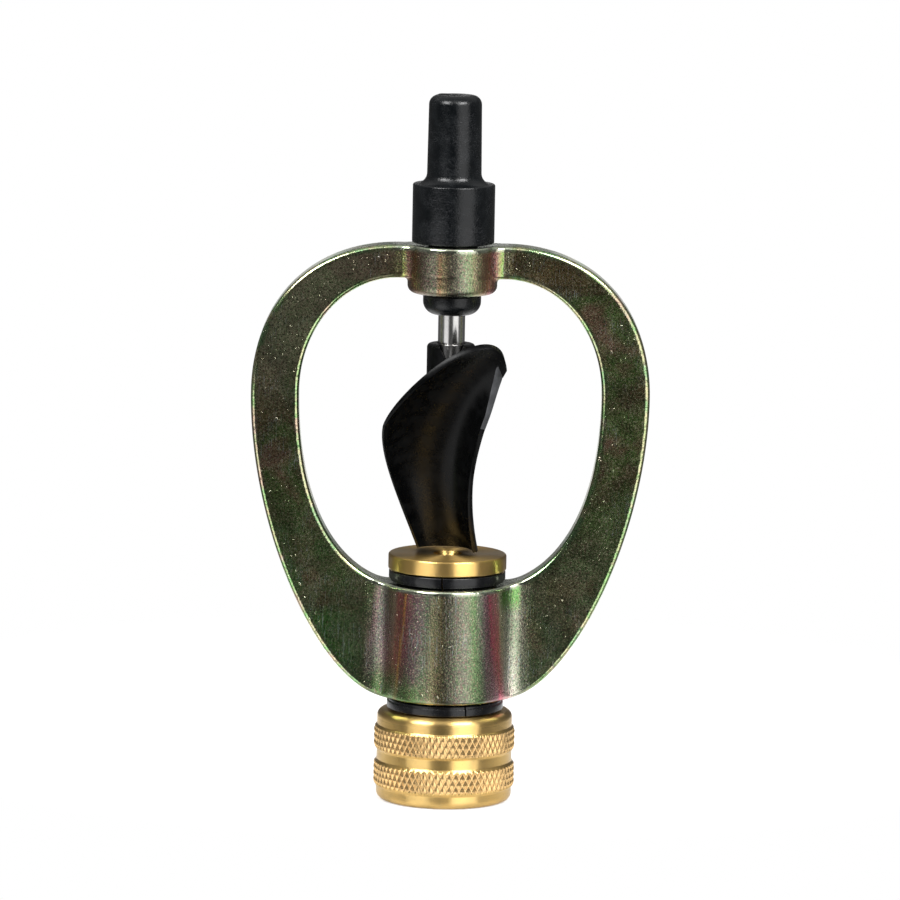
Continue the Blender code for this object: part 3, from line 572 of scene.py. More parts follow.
# Rows of the rims: heights v, where the rim ends in u, and how far it is pushed out in millimetres
FRONT_RIMS = (
    (0.6, 0.7, 0.78, 0.84, 0.86, 0.94, 0.955, 0.966),
    (1.0, 1.0, 1.0, 0.97, 0.95, 0.895, 0.9, 1.0),
    (0.45, 0.2, 0.15, 0.0, 0.0, 0.0, 0.0, 0.0),
)
BACK_RIMS = (
    (0.7, 0.78, 0.86, 0.94, 0.966, 0.985),
    (1.0,) * 6,
    (0.0, 0.22, 0.33, 0.45, 0.35, 0.0),
)
STRIP_BOTTOM, STRIP_TOP = 0.7, 0.96  # the part of the right rim that is cut straight, in v
SCOOP_BEVEL, BEVEL_ANGLE = 0.14, math.radians(50)
# The pivot is the spinner's own hub
PIVOT_RADIUS, PIVOT_TOP, PIVOT_BOTTOM, PIVOT_EDGE = 4.6, 87.7, 61.7, 0.8
PIVOT_BORE, BORE_TOP, BORE_BOTTOM = 2.7, 90.0, 77.4
NOTCH_HALF_WIDTH, NOTCH_TOP, NOTCH_BOTTOM, NOTCH_FRONT = 4.0, 90.8, 82.9, -8.0
# The trough keeps the hub behind the scoop: its span and points in u and v, and its depth in the wall
TROUGH_U, TROUGH_V, TROUGH_SHARE, TROUGH_FRONT = (0.02, 0.98, 49), (0.2, 1.0, 73), 0.5, -30.0


def bernstein(t):
    """The four weights of a cubic curve at t."""
    return np.stack(((1 - t) ** 3, 3 * (1 - t) ** 2 * t, 3 * (1 - t) * t**2, t**3), axis=-1)


def bernstein_slope(t):
    """How these weights grow with t."""
    s = 1 - t
    return np.stack((-3 * s**2, 3 * s**2 - 6 * s * t, 6 * s * t - 3 * t**2, 3 * t**2), axis=-1)


def scoop_points(u, v, share, rims=None):
    """Points of the scoop at a share of its wall behind the wet face, on a grid of u by v, with the right rim
    shaped by rims if given."""
    end, push = (np.interp(v, rims[0], row) for row in rims[1:]) if rims else (1.0, 0.0)
    u = u[None, :] * np.broadcast_to(end, v.shape)[:, None]
    push = np.broadcast_to(push, v.shape)[:, None] * np.clip((u - RIM_START) / (1 - RIM_START), 0, 1) ** 2
    v = np.broadcast_to(v[:, None], u.shape)
    bu, bv = bernstein(u), bernstein(v)
    point = np.einsum("jim,jin,mnk->jik", bv, bu, SCOOP_NET) + np.array((0, 0, SCOOP_FOOT))
    along = np.einsum("jim,jin,mnk->jik", bv, bernstein_slope(u), SCOOP_NET)
    up = np.einsum("jim,jin,mnk->jik", bernstein_slope(v), bu, SCOOP_NET)
    wall = SCOOP_WALL - SCOOP_THINNING * (1 - u) ** 3
    point = point + unit(np.cross(up, along)) * (wall * share)[..., None]
    point[..., 0] += push
    return point


def shell(name, front, back):
    """Two like grids of points closed into one solid."""
    rows, columns = front.shape[:2]
    number = np.arange(rows * columns).reshape(rows, columns)
    corners = number[:-1, :-1], number[:-1, 1:], number[1:, 1:], number[1:, :-1]
    quads = np.stack(corners, axis=-1).reshape(-1, 4)
    rim = np.concatenate((number[0], number[1:, -1], number[-1, -2::-1], number[-2:0:-1, 0]))
    after = np.roll(rim, -1)
    offset = rows * columns
    side = np.stack((rim, after, after + offset, rim + offset), axis=-1)
    points = np.concatenate((front.reshape(-1, 3), back.reshape(-1, 3)))
    return make_mesh(name, points, np.concatenate((quads, quads[:, ::-1] + offset, side)).tolist())


def plug(name, radius, top, bottom, edge=0.0):
    """A cylinder about the axis, with its top edge rounded."""
    corners = [(0.0, top, 0.0), (radius, top, edge), (radius, bottom, 0.0), (0.0, bottom, 0.0)]
    return lathe(name, outline(corners), columns=96)


def spinner():
    """The scoop, with the notched hub on its back that the spindle passes into."""
    u, v = np.linspace(0, 1, SCOOP_COLUMNS), np.linspace(0, 1, SCOOP_ROWS)
    scoop = shell("scoop", scoop_points(u, v, 0.0, FRONT_RIMS), scoop_points(u, v, 1.0, BACK_RIMS))
    for _ in range(2):
        scoop.data.materials.append(None)
    first_of_rim = 2 * (len(u) - 1) * (len(v) - 1) + len(u) - 1
    for row in range(len(v) - 1):
        if STRIP_BOTTOM * len(v) < row < STRIP_TOP * len(v):
            scoop.data.polygons[first_of_rim + row].material_index = 1
    bevel = scoop.modifiers.new("bevel", "BEVEL")
    bevel.width = SCOOP_BEVEL * MM
    bevel.segments = 2
    bevel.limit_method = "ANGLE"
    bevel.angle_limit = BEVEL_ANGLE
    apply_modifiers(scoop)
    hub = plug("hub", PIVOT_RADIUS, PIVOT_TOP, PIVOT_BOTTOM, PIVOT_EDGE)
    back = scoop_points(np.linspace(*TROUGH_U), np.linspace(*TROUGH_V), TROUGH_SHARE)
    front = back.copy()
    front[..., 1] = TROUGH_FRONT
    cut(hub, shell("trough", front, back), "DIFFERENCE")
    wedge = [(-NOTCH_HALF_WIDTH, NOTCH_TOP), (0.0, NOTCH_BOTTOM), (NOTCH_HALF_WIDTH, NOTCH_TOP)]
    points = [(x, y, z) for y in (NOTCH_FRONT, 0.0) for x, z in wedge]
    faces = [(0, 1, 2), (5, 4, 3), (0, 3, 4, 1), (1, 4, 5, 2), (2, 5, 3, 0)]
    cut(hub, make_mesh("wedge", points, faces), "DIFFERENCE")
    cut(scoop, hub, "UNION")
    cut(scoop, plug("bore", PIVOT_BORE, BORE_TOP, BORE_BOTTOM), "DIFFERENCE")
    scoop.data.shade_smooth()
    scoop.data.set_sharp_from_angle(angle=SHARP_ANGLE)
    scoop.name = "scoop_spinner"
    return scoop


# Materials


class Nodes:
    """Short ways to add nodes to a tree."""

    def __init__(self, tree):
        self.tree = tree

    def feed(self, socket, value):
        """Links a socket, or sets a value, at another socket. A colour of three parts is made opaque."""
        if isinstance(value, bpy.types.NodeSocket):
            self.tree.links.new(value, socket)
        else:
            solid = socket.type == "RGBA" and len(value) == 3
            socket.default_value = (*value, 1.0) if solid else value

    def node(self, kind, inputs=(), **settings):
        """A new node with these settings, and with values or sockets fed to the inputs that are named."""
        node = self.tree.nodes.new(kind)
        for key, value in settings.items():
            setattr(node, key, value)
        for key, value in dict(inputs).items():
            self.feed(node.inputs[key], value)
        return node

    def out(self, kind, inputs=(), **settings):
        """The first output of a new node."""
        return self.node(kind, inputs, **settings).outputs[0]

    def math(self, operation, *values):
        return self.out("ShaderNodeMath", enumerate(values), operation=operation)

    def times(self, value, *others):
        """The product of several values."""
        for other in others:
            value = self.math("MULTIPLY", value, other)
        return value

    def away(self, value, middle):
        """How far a value is from a middle."""
        return self.math("ABSOLUTE", self.math("SUBTRACT", value, middle))

    def map(self, value, low, high, to_low=0.0, to_high=1.0, kind="LINEAR"):
        values = enumerate((value, low, high, to_low, to_high))
        return self.out("ShaderNodeMapRange", values, interpolation_type=kind)

    def ease(self, *values):
        """A map with soft ends."""
        return self.map(*values, kind="SMOOTHSTEP")

    def split(self, place):
        """The three coordinates of a place."""
        return self.node("ShaderNodeSeparateXYZ", {0: place}).outputs


class Paint(Nodes):
    """A Principled material, with nodes in front of it. Positions are in millimetres."""

    def __init__(self, name, **values):
        self.material = bpy.data.materials.new(name)
        self.material.use_nodes = True
        super().__init__(self.material.node_tree)
        self.shader = self.tree.nodes["Principled BSDF"]
        for key, value in values.items():
            self.set(key.replace("_", " "), value)
        place = self.node("ShaderNodeTexCoord").outputs["Object"]
        self.place = self.out("ShaderNodeVectorMath", {0: place, "Scale": 1 / MM}, operation="SCALE")
        self.x, self.y, self.z = self.split(self.place)

    def set(self, name, value):
        self.feed(self.shader.inputs[name], value)

    def stretch(self, scale=(1, 1, 1), turn=(0, 0, 0), shift=(0, 0, 0)):
        """Positions that are scaled, turned in degrees and shifted."""
        turn = [math.radians(angle) for angle in turn]
        inputs = {0: self.place, "Scale": scale, "Rotation": turn, "Location": shift}
        return self.out("ShaderNodeMapping", inputs)

    def noise(self, scale, detail=3.0, rough=0.5, bend=0.0, place=None, shift=None):
        """Noise at the surface's own place, at that place shifted, or at another one."""
        place = self.stretch(shift=shift) if shift else place or self.place
        inputs = {"Vector": place, "Scale": scale, "Detail": detail, "Roughness": rough, "Distortion": bend}
        return self.out("ShaderNodeTexNoise", inputs)

    def ramp(self, value, stops):
        """Colours at places from 0 to 1, and what lies between them."""
        node = self.node("ShaderNodeValToRGB", {0: value})
        elements = node.color_ramp.elements
        while len(elements) < len(stops):
            elements.new(1.0)
        for element, (where, colour) in zip(elements, stops):
            element.position = where
            element.color = (*colour, 1.0)
        return node.outputs[0]

    def mix(self, share, a, b):
        """Colour a turned into b by a share."""
        return self.node("ShaderNodeMix", {0: share, 6: a, 7: b}, data_type="RGBA").outputs[2]

    def spread(self):
        """The distance from the axis."""
        square = self.math("ADD", self.math("POWER", self.x, 2.0), self.math("POWER", self.y, 2.0))
        return self.math("POWER", square, 0.5)

    def rings(self, height_scale, radius_scale=0.0):
        """Positions that are the same all round the axis, for marks left by turning."""
        across = self.times(self.spread(), radius_scale) if radius_scale else 0.0
        return self.out("ShaderNodeCombineXYZ", {0: across, 2: self.times(self.z, height_scale)})

    def bump(self, *layers):
        """Stacks heights, each with its depth in millimetres."""
        below = {}
        for height, depth in layers:
            inputs = {"Distance": depth * MM, "Height": height, **below}
            below = {"Normal": self.out("ShaderNodeBump", inputs)}
        self.set("Normal", below["Normal"])


# Places and tints on the zinc's ramps, from left to right on the bosses. The arm tones are the film's own
# colours; the rim, hub and collar tints mix them with painted highlights, reflections and shade of the lamps.
ARM_TONES = (
    (0.34, (0.4, 0.28, 0.11)), (0.47, (0.2, 0.18, 0.08)), (0.55, (0.2, 0.34, 0.09)),
    (0.64, (0.42, 0.26, 0.16)),
)
# painted highlights along the rounded edges: pale gold and white, with the film's greens
RIM_HIGHLIGHT_TONES = (
    (0.34, (0.7, 0.52, 0.38)), (0.43, (0.3, 0.62, 0.22)), (0.52, (0.74, 0.68, 0.4)),
    (0.62, (0.34, 0.6, 0.28)),
)
HUB_LEFT, HUB_RIGHT = -17.0, 17.0
# painted reflections and shade: bright silver and white stops where the lamps' reflections fall, dark ones
# between, over the film's own colours
HUB_FILM_AND_REFLECTION_TONES = (
    (0.04, (0.17, 0.24, 0.1)), (0.09, (0.38, 0.26, 0.26)), (0.13, (0.28, 0.27, 0.24)),
    (0.19, (0.46, 0.28, 0.31)), (0.225, (0.56, 0.14, 0.16)), (0.242, (0.4, 0.11, 0.11)),
    (0.253, (0.8, 0.36, 0.09)), (0.266, (0.34, 0.09, 0.11)), (0.3, (0.15, 0.085, 0.1)),
    (0.344, (0.14, 0.105, 0.11)), (0.388, (0.13, 0.145, 0.105)), (0.432, (0.42, 0.39, 0.21)),
    (0.478, (0.3, 0.25, 0.12)), (0.52, (0.14, 0.14, 0.1)), (0.6, (0.22, 0.22, 0.17)),
    (0.656, (0.18, 0.3, 0.13)), (0.7, (0.29, 0.28, 0.24)), (0.74, (0.42, 0.21, 0.26)),
    (0.765, (0.95, 0.2, 0.3)), (0.788, (0.95, 0.4, 0.46)), (0.81, (0.95, 0.86, 0.74)),
    (0.835, (0.72, 0.72, 0.58)), (0.88, (0.32, 0.38, 0.26)), (0.92, (0.36, 0.35, 0.27)),
    (0.96, (0.2, 0.21, 0.14)),
)
COLLAR_LEFT, COLLAR_RIGHT = -12.5, 11.5
# painted reflections and shade across the collar, over the film's own colours
COLLAR_FILM_AND_REFLECTION_TONES = (
    (0.11, (0.26, 0.24, 0.11)), (0.135, (0.52, 0.58, 0.18)), (0.16, (0.24, 0.11, 0.08)),
    (0.22, (0.33, 0.16, 0.1)), (0.29, (0.3, 0.24, 0.19)), (0.38, (0.28, 0.27, 0.2)),
    (0.43, (0.46, 0.27, 0.14)), (0.46, (0.56, 0.44, 0.25)), (0.5, (0.25, 0.22, 0.16)),
    (0.555, (0.17, 0.16, 0.12)), (0.615, (0.24, 0.26, 0.18)), (0.675, (0.26, 0.33, 0.17)),
    (0.735, (0.5, 0.4, 0.23)), (0.78, (0.42, 0.24, 0.16)), (0.82, (0.78, 0.28, 0.3)),
    (0.865, (0.46, 0.3, 0.2)), (0.89, (0.42, 0.4, 0.16)), (0.9125, (0.38, 0.62, 0.16)),
    (0.935, (0.26, 0.25, 0.13)),
)


def zinc_arms(p):
    """The arms: olive and green, silver below, rust and leaf green at the lower left, gold at the upper."""
    colour = p.ramp(p.noise(0.07, 3, 0.5, 0.4, shift=(3, 0, 5)), ARM_TONES)
    colour = p.mix(p.ease(p.z, 34.0, 62.0, 0.35, 0.0), colour, (0.48, 0.5, 0.4))
    low_left = p.times(p.ease(p.z, 30.0, 66.0, 1.0, 0.0), p.ease(p.x, -14.0, -22.0, 0.35, 1.0))
    leaf = p.map(p.noise(0.12, 2, 0.5, 0.5, shift=(6, 1, 8)), 0.36, 0.6, 0.45, 1.0)
    colour = p.mix(p.times(low_left, leaf), colour, (0.15, 0.44, 0.09))
    rust = p.noise(0.15, 3, 0.5, 0.4, p.stretch((1, 1, 0.7), shift=(12, 3, 14)))
    rust = p.map(rust, 0.54, 0.64, 0.0, 0.7)
    colour = p.mix(p.times(low_left, rust), colour, (0.42, 0.19, 0.11))
    high_left = p.times(p.map(p.x, -8.0, -20.0), p.map(p.z, 72.0, 84.0))
    return p.mix(p.times(high_left, 0.6), colour, (0.62, 0.6, 0.4))


def zinc_rim(p):
    """1 on the bow's rounded edges, and 0 on its faces and on the collar below the arms."""
    margin = p.node("ShaderNodeAttribute", attribute_name="margin").outputs["Fac"]
    rim = p.ease(margin, 0.55, 1.3, 1.0, 0.0)
    below_arms = p.times(p.map(p.z, 96.0, 96.5), p.map(p.z, 100.6, 101.2, 1.0, 0.0))
    near_axis = p.map(p.math("ABSOLUTE", p.x), 8.6, 9.2, 1.0, 0.0)
    return p.times(rim, p.math("SUBTRACT", 1.0, p.times(below_arms, near_axis)))


def zinc_hub(p, sway):
    """The hub's streaks, the film's colours mixed with painted reflections, highlights and shade of the
    lamps, which fan out upwards, with green at its lower left and a painted green highlight at its upper
    right.
    """
    # the painted reflections fan out upwards, as if the hub were a cone
    fan = p.map(p.z, 20.0, 42.0, 0.84, 1.1)
    across = p.math("ADD", p.times(p.x, fan), sway)
    colour = p.ramp(p.map(across, HUB_LEFT, HUB_RIGHT), HUB_FILM_AND_REFLECTION_TONES)
    patch = p.noise(0.16, 3, 0.5, 0.5, p.stretch((1, 1, 0.55), shift=(7, 2, 1)))
    foot = p.ease(p.z, 21.0, 31.0, 1.0, 0.0)
    left = p.ease(p.x, -2.0, -7.0)
    green = p.times(foot, left, p.map(patch, 0.38, 0.55))
    colour = p.mix(green, colour, (0.13, 0.24, 0.08))
    # painted highlight: green on the hub's upper right, where its top edge runs into the arm
    top = p.ease(p.z, 36.0, 39.5)
    right = p.ease(p.away(p.x, 12.2), 1.2, 2.4, 1.0, 0.0)
    return p.mix(p.times(top, right), colour, (0.22, 0.48, 0.14))


def zinc_specks_and_glints(p, colour, speck, plain, flat):
    """Adds grains of gold, black, green and rose, and pale dots, which it also gives. The pale gold grains
    and the dots are painted glints; the dark, green and rose grains are colour of the casting's own.
    """
    fine = p.noise(2.9, 2, 0.6, shift=(5, 8, 2))
    hue = p.noise(2.6, 1, shift=(11, 5, 3))
    grains = (
        (speck, 0.53, 0.7, 0.5, plain, (0.66, 0.62, 0.42)),
        (speck, 0.47, 0.32, 0.75, plain, (0.035, 0.035, 0.025)),
        (fine, 0.56, 0.66, 0.75, flat, (0.75, 0.72, 0.5)),
        (fine, 0.46, 0.34, 0.85, flat, (0.05, 0.05, 0.035)),
        (hue, 0.55, 0.68, 0.45, 1.0, (0.12, 0.26, 0.09)),
        (hue, 0.45, 0.32, 0.4, 1.0, (0.34, 0.16, 0.15)),
    )
    for noise, start, full, share, where, tint in grains:
        colour = p.mix(p.times(p.map(noise, start, full, 0.0, share), where), colour, tint)
    # painted glints: pale dots in clusters
    glint_dots = p.map(p.noise(1.9, 2, 0.6, 0.6, p.stretch((1, 1, 0.8), shift=(2, 9, 4))), 0.69, 0.73)
    crowd = p.map(p.noise(0.13, 2, shift=(1, 4, 6)), 0.46, 0.56)
    glint_dots = p.times(glint_dots, crowd)
    return p.mix(p.times(glint_dots, 0.8), colour, (0.86, 0.84, 0.66)), glint_dots


def zinc_scratches(p):
    """1 on the long fine scratches of the worn places."""
    scratch = p.noise(1.0, 2, 0.5, 0.0, p.stretch((2.6, 1.0, 0.1), turn=(0, 38, 0)))
    lines = p.map(p.away(scratch, 0.5), 0.0, 0.01, 1.0, 0.0)
    worn = p.map(p.noise(0.1, 2, shift=(9, 0, 2)), 0.47, 0.57)
    return p.times(lines, worn)


def zinc():
    """Cast zinc, passivated yellow: dark olive and green, with streaks of many colours on the bosses that mix
    the film's colours with painted lamp reflections and shade, and with painted highlights along its edges
    and painted glints.
    """
    p = Paint("zinc_passivated", Metallic=1.0)
    wide = p.math("ABSOLUTE", p.x)
    beside = p.ease(wide, 14.2, 17.0, 1.0, 0.0)
    on_hub = p.times(beside, p.ease(p.z, 42.5, 44.5, 1.0, 0.0))
    beside = p.ease(wide, 10.3, 12.0, 1.0, 0.0)
    on_collar = p.times(beside, p.ease(p.z, 94.0, 96.0))
    boss = p.math("MAXIMUM", on_hub, on_collar)
    rim = zinc_rim(p)
    # painted highlight along the rounded edges, tinted with the film's greens
    rim_highlight_tint = p.ramp(p.noise(0.09, 3, 0.5, 0.8, shift=(40, 0, 9)), RIM_HIGHLIGHT_TONES)
    streak = p.noise(1.0, 3, 0.6, 0.0, p.stretch((0.55, 0.55, 0.035)))
    sway = p.map(streak, 0.25, 0.75, -0.7, 0.7)
    colour = p.mix(rim, zinc_arms(p), rim_highlight_tint)
    colour = p.mix(on_hub, colour, zinc_hub(p, sway))
    # the collar's painted reflections and film colours, by place across it
    along_collar = p.map(p.math("ADD", p.x, sway), COLLAR_LEFT, COLLAR_RIGHT)
    colour = p.mix(on_collar, colour, p.ramp(along_collar, COLLAR_FILM_AND_REFLECTION_TONES))
    # painted highlight: a pale band along the top edges of the hub and the collar
    upper = p.math("MAXIMUM", p.map(p.z, 104.5, 105.5), p.times(p.map(p.z, 40.4, 41.0), on_hub))
    colour = p.mix(p.times(boss, rim, upper), colour, (0.6, 0.66, 0.5))

    speck = p.noise(3.4, 2, 0.7)
    plain = p.math("SUBTRACT", 1.0, p.times(rim, 0.8))
    flat = p.math("SUBTRACT", 1.0, p.map(boss, 0.0, 1.0, 0.0, 0.7))
    colour, glint_dots = zinc_specks_and_glints(p, colour, speck, plain, flat)
    lines = zinc_scratches(p)
    p.set("Base Color", p.mix(p.times(lines, 0.8), colour, (0.46, 0.5, 0.56)))
    smooth = p.map(p.noise(0.22, 3, 0.6, 0.4), 0.3, 0.7, 0.17, 0.25)
    smooth = p.math("SUBTRACT", smooth, p.times(rim, 0.07))
    p.set("Roughness", p.math("ADD", smooth, p.times(lines, 0.1)))
    depth = p.times(p.map(boss, 0.0, 1.0, 0.14, 0.9), plain)
    p.bump((p.noise(0.4, 2), 0.03), (p.times(speck, depth), 0.085), (glint_dots, 0.03))
    return p.material


# painted highlight: the knurled bands are paler for the light that their teeth catch
KNURL_HIGHLIGHT_TINT = (1.0, 0.65, 0.31)
INLET_MIDDLE, BAND_OFFSET = 8.6, 3.45  # midway between the knurled bands, and how far off each is
BAND_HALF_HEIGHT, BAND_FADE = 1.8, 0.3


def brass(name, roughness, tint, lines=0.006, knurled=False):
    """Turned brass: fine rings round the axis, which stretch its highlights up and down, and darker spots."""
    p = Paint(name, Metallic=1.0, Anisotropic=0.9, Anisotropic_Rotation=0.25)
    turned = p.noise(1.3, 4, 0.75, 0.0, p.rings(5.0, 5.0))
    tones = (
        (0.3, tuple(c * 0.8 for c in tint)),
        (0.5, tint),
        (0.7, (tint[0] * 1.06, tint[1] * 1.04, tint[2] * 0.95)),
    )
    colour = p.ramp(p.noise(0.16, 4, 0.6, 0.5), tones)
    colour = p.mix(p.map(turned, 0.62, 0.8, 0.0, 0.35), colour, tuple(c * 0.62 for c in tint))
    specks = p.map(p.noise(2.4, 2), 0.69, 0.76, 0.0, 0.5)
    colour = p.mix(specks, colour, tuple(c * 0.35 for c in tint))
    rough = p.map(turned, 0.25, 0.75, roughness - 0.05, roughness + 0.08)
    if knurled:
        off_band = p.away(p.away(p.z, INLET_MIDDLE), BAND_OFFSET)
        smooth = p.map(off_band, BAND_HALF_HEIGHT, BAND_HALF_HEIGHT + BAND_FADE)
        rough = p.times(rough, p.map(smooth, 0.0, 1.0, 0.9, 1.0))
        p.set("Anisotropic", p.times(smooth, 0.9))
        # painted highlight on the knurled teeth
        colour = p.mix(p.map(smooth, 0.0, 1.0, 0.6, 0.0), colour, KNURL_HIGHLIGHT_TINT)
    p.set("Base Color", colour)
    p.set("Roughness", rough)
    p.bump((turned, lines), (p.noise(0.7, 2), 0.01))
    return p.material


RUB_TINT = (0.055, 0.055, 0.06)


def moulding(name, colour, roughness, grain, swirl, index=1.49):
    """Black moulded plastic with a fine grain, rings from its mould and light rub marks."""
    p = Paint(name, IOR=index)
    dust = p.noise(0.35, 4, 0.6, 0.3)
    paler = tuple(c * 2.5 + 0.004 for c in colour)
    tone = p.mix(p.map(dust, 0.45, 0.75, 0.0, 0.6), colour, paler)
    rub = p.noise(1.0, 3, 0.6, 1.6, p.stretch((0.7, 0.7, 2.4), turn=(24, 0, 30)))
    marks = p.map(p.away(rub, 0.5), 0.0, 0.012, 1.0, 0.0)
    marks = p.times(marks, p.map(p.noise(0.2, 2), 0.42, 0.55))
    p.set("Base Color", p.mix(p.times(marks, swirl * swirl), tone, RUB_TINT))
    flecks = p.map(p.noise(2.4, 3, 0.7), 0.52, 0.7)
    rough = p.map(dust, 0.3, 0.7, roughness - 0.06, roughness + 0.08)
    rough = p.math("ADD", rough, p.times(flecks, swirl * 0.14))
    p.set("Roughness", p.math("ADD", rough, p.times(marks, swirl * 0.2)))
    p.bump((p.noise(2.6, 3, 0.6), grain), (p.noise(1.5, 3, 0.7, 0.0, p.rings(3.0)), grain * 0.4))
    return p.material


def steel():
    """Ground steel, with fine rings and faint stains."""
    p = Paint("steel_ground", Metallic=1.0, Anisotropic=0.3)
    ground = p.noise(1.6, 4, 0.7, 0.0, p.rings(6.0))
    colour = p.ramp(ground, ((0.35, (0.5, 0.49, 0.48)), (0.65, (0.68, 0.67, 0.66))))
    colour = p.mix(p.map(p.noise(0.5, 3, 0.6), 0.55, 0.75, 0.0, 0.3), colour, (0.42, 0.38, 0.36))
    p.set("Base Color", colour)
    p.set("Roughness", p.map(ground, 0.3, 0.7, 0.14, 0.26))
    p.bump((ground, 0.003))
    return p.material


def rubber():
    """Black rubber, dull with dust."""
    p = Paint("rubber_black", IOR=1.5)
    dust = p.noise(0.8, 4, 0.6)
    p.set("Base Color", p.ramp(dust, ((0.35, (0.014, 0.014, 0.015)), (0.7, (0.035, 0.034, 0.033)))))
    p.set("Roughness", p.map(dust, 0.3, 0.7, 0.62, 0.8))
    p.bump((p.noise(6.0, 2, 0.6), 0.01))
    return p.material


# Studio. Places and sizes are in metres, apart from the floor's radii and level, in millimetres.

FLOOR_RADIUS, FLOOR_LEVEL, FLOOR_FADE_START, FLOOR_FADE_END = 130.0, -0.05, 72.0, 128.0
FLOOR_BACK = 0.085
FLOOR_GLOW = 0.33  # added for the camera, so that the floor meets the white around it
AIM_HEIGHT = 0.06
LAMPS = (  # name, angle, width, height, radiance, reach and lift
    ("softbox_left", -46, 0.66, 0.72, 1.35, 0.8, -0.42),
    ("softbox_right", 37, 0.7, 1.2, 1.45, 0.8, 0.03),
    ("bright_left", -46, 0.42, 0.3, 15.0, 0.62, 0.56),
    ("bright_right", 37, 0.42, 0.3, 15.0, 0.62, 0.56),
    ("softbox_above", 0, 0.7, 0.35, 0.9, 0.45, 0.75),
)
SHADE_LEVEL = 0.72  # the world's light on matt surfaces
ROOM_FRONT, ROOM_SIDE, BACK_DROP = 0.06, 0.15, 0.06
CEILING_LEVEL, GROUND_LEVEL = 0.35, 0.2
VIEW_REACH, VIEW_RISE, VIEW_ROLL = 1.307, math.radians(8.3), math.radians(1.03)
VIEW_TARGET = (0.00012, 0.0, 0.0672)
METRES_PER_PIXEL, PICTURE_WIDTH, SENSOR_WIDTH = 0.00019, 900, 36


def floor():
    """A small pale disc that catches the shadow and fades out into the white."""
    radius = np.concatenate(([0.0], np.linspace(4, FLOOR_RADIUS, 24)))
    profile = np.stack((radius, np.full_like(radius, FLOOR_LEVEL)), axis=1)
    obj = lathe("studio_floor", profile, columns=96)
    obj.location = (0.0, FLOOR_BACK, 0.0)
    p = Paint("floor_white", Roughness=0.9)
    p.set("Base Color", p.ramp(p.noise(0.05, 3), ((0.3, (0.7, 0.7, 0.7)), (0.7, (0.72, 0.72, 0.72)))))
    seen = p.node("ShaderNodeLightPath").outputs["Is Camera Ray"]
    glow = p.out("ShaderNodeEmission", {"Strength": p.times(seen, FLOOR_GLOW)})
    lit = p.out("ShaderNodeAddShader", {0: p.shader.outputs[0], 1: glow})
    fade = p.ease(p.spread(), FLOOR_FADE_START, FLOOR_FADE_END)
    shown = p.out("ShaderNodeMixShader", {0: fade, 1: lit, 2: p.out("ShaderNodeBsdfTransparent")})
    p.feed(p.tree.nodes["Material Output"].inputs["Surface"], shown)
    obj.data.materials.append(p.material)


def softbox(name, azimuth, width, height, radiance, reach, lift):
    """A lamp panel that faces the axis, at an angle in degrees from the camera to the right."""
    lamp = bpy.data.lights.new(name, "AREA")
    lamp.shape = "RECTANGLE"
    lamp.size, lamp.size_y = width, height
    lamp.energy = radiance * math.pi * width * height
    obj = add(name, lamp)
    turn = math.radians(azimuth)
    obj.location = (reach * math.sin(turn), -reach * math.cos(turn), AIM_HEIGHT + lift)
    aim = Vector((0.0, 0.0, AIM_HEIGHT)) - obj.location
    obj.rotation_euler = aim.to_track_quat("-Z", "Y").to_euler()


def world():
    """White for the camera and in a card straight behind the object. Other reflections show a room that is
    dim in front and paler at its sides, ceiling and ground, and matt surfaces get a plain level."""
    sky = bpy.data.worlds.new("studio")
    bpy.context.scene.world = sky
    sky.use_nodes = True
    n = Nodes(sky.node_tree)
    path = n.node("ShaderNodeLightPath").outputs
    x, y, z = n.split(n.node("ShaderNodeTexCoord").outputs["Generated"])
    turn = n.math("ABSOLUTE", n.math("ARCTAN2", x, n.times(y, -1.0)))
    behind = n.ease(turn, math.radians(170), math.radians(176))
    card = n.times(behind, n.ease(z, 0.05, 0.11, 1.0, 0.0))
    room = n.ease(turn, math.radians(55), math.radians(85), ROOM_FRONT, ROOM_SIDE)
    drop = n.ease(turn, math.radians(100), math.radians(140), 0.0, BACK_DROP)
    ceiling, ground = n.ease(z, 0.3, 0.8, 0.0, CEILING_LEVEL), n.ease(z, -0.3, -0.6, 0.0, GROUND_LEVEL)
    room = n.math("ADD", n.math("SUBTRACT", room, drop), n.math("ADD", ceiling, ground))
    mirror = n.math("MAXIMUM", path["Is Glossy Ray"], path["Is Transmission Ray"])

    def choose(share, a, b):
        return n.out("ShaderNodeMix", {0: share, 2: a, 3: b})

    level = choose(mirror, SHADE_LEVEL, choose(card, room, 1.0))
    back = n.tree.nodes["Background"]
    n.feed(back.inputs["Strength"], choose(path["Is Camera Ray"], level, 1.0))
    n.feed(back.inputs["Color"], (1.0, 1.0, 1.0))


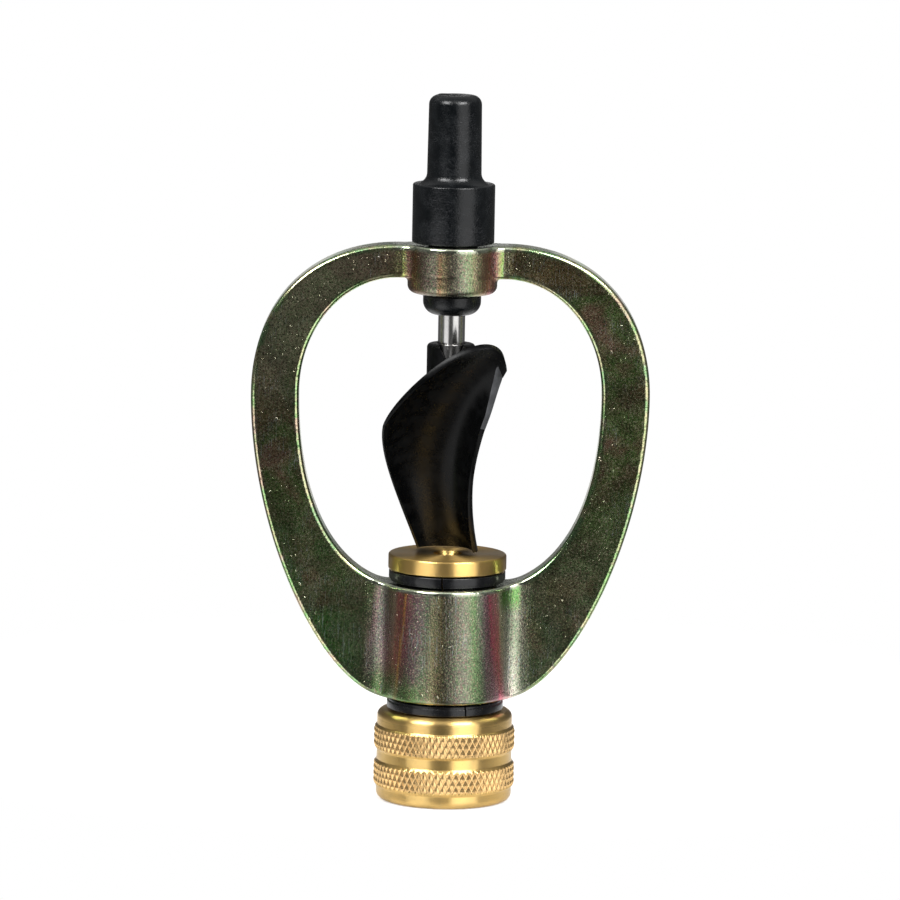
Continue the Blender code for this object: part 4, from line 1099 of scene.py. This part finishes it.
def camera():
    """The photograph's view, a little from above and rolled by a degree."""
    target = Vector(VIEW_TARGET)
    data = bpy.data.cameras.new("camera")
    data.lens = VIEW_REACH / METRES_PER_PIXEL * SENSOR_WIDTH / PICTURE_WIDTH
    data.sensor_width = SENSOR_WIDTH
    obj = add("camera", data)
    stand = target + Vector((0, -math.cos(VIEW_RISE), math.sin(VIEW_RISE))) * VIEW_REACH
    aim = (target - stand).to_track_quat("-Z", "Y").to_matrix().to_4x4()
    obj.matrix_world = Matrix.Translation(stand) @ aim @ Matrix.Rotation(VIEW_ROLL, 4, "Z")
    data.clip_start, data.clip_end = 0.05, 20.0
    bpy.context.scene.camera = obj


# Scene

turned_brass = brass("brass_turned", 0.3, (0.79, 0.54, 0.2), knurled=True)
polished_brass = brass("brass_polished", 0.33, (0.78, 0.52, 0.18), lines=0.004)
cap_plastic = moulding("plastic_satin", (0.001, 0.0016, 0.0021), 0.22, 0.045, 0.8, index=1.43)
bush_plastic = moulding("plastic_bush", (0.0016, 0.0018, 0.0024), 0.22, 0.005, 0.4)
spinner_plastic = moulding("plastic_gloss", (0.0008, 0.0009, 0.001), 0.27, 0.003, 0.3, index=1.22)
cut_plastic = moulding("plastic_cut", (0.03, 0.031, 0.034), 0.38, 0.01, 0.8)

place(inlet(), turned_brass, "base", "inlet_body", "brass")
place(nozzle(), polished_brass, "base", "nozzle", "nozzle_brass")
place(washer(), rubber(), "base", "inlet_washer", "washer_rubber")
place(bush("bush_under_hub", 19.5, 1.9, -1, -69), bush_plastic, "bow", "lower_bush", "bush_plastic")
place(bush("bush_over_hub", 42.2, 2.0, 1, -95), bush_plastic, "bow", "upper_bush", "bush_plastic")
place(bow(), zinc(), "bow", "bow_frame", "passivated_zinc")
place(cap(), cap_plastic, "bow", "bearing_cap", "cap_plastic")
place(pin(), steel(), "spindle", "spindle", "stainless_steel")
place(spinner(), spinner_plastic, "spinner", "spinner", "spinner_plastic", second=cut_plastic)

floor()
for lamp in LAMPS:
    softbox(*lamp)
world()
camera()
bpy.context.scene.view_settings.view_transform = "Standard"
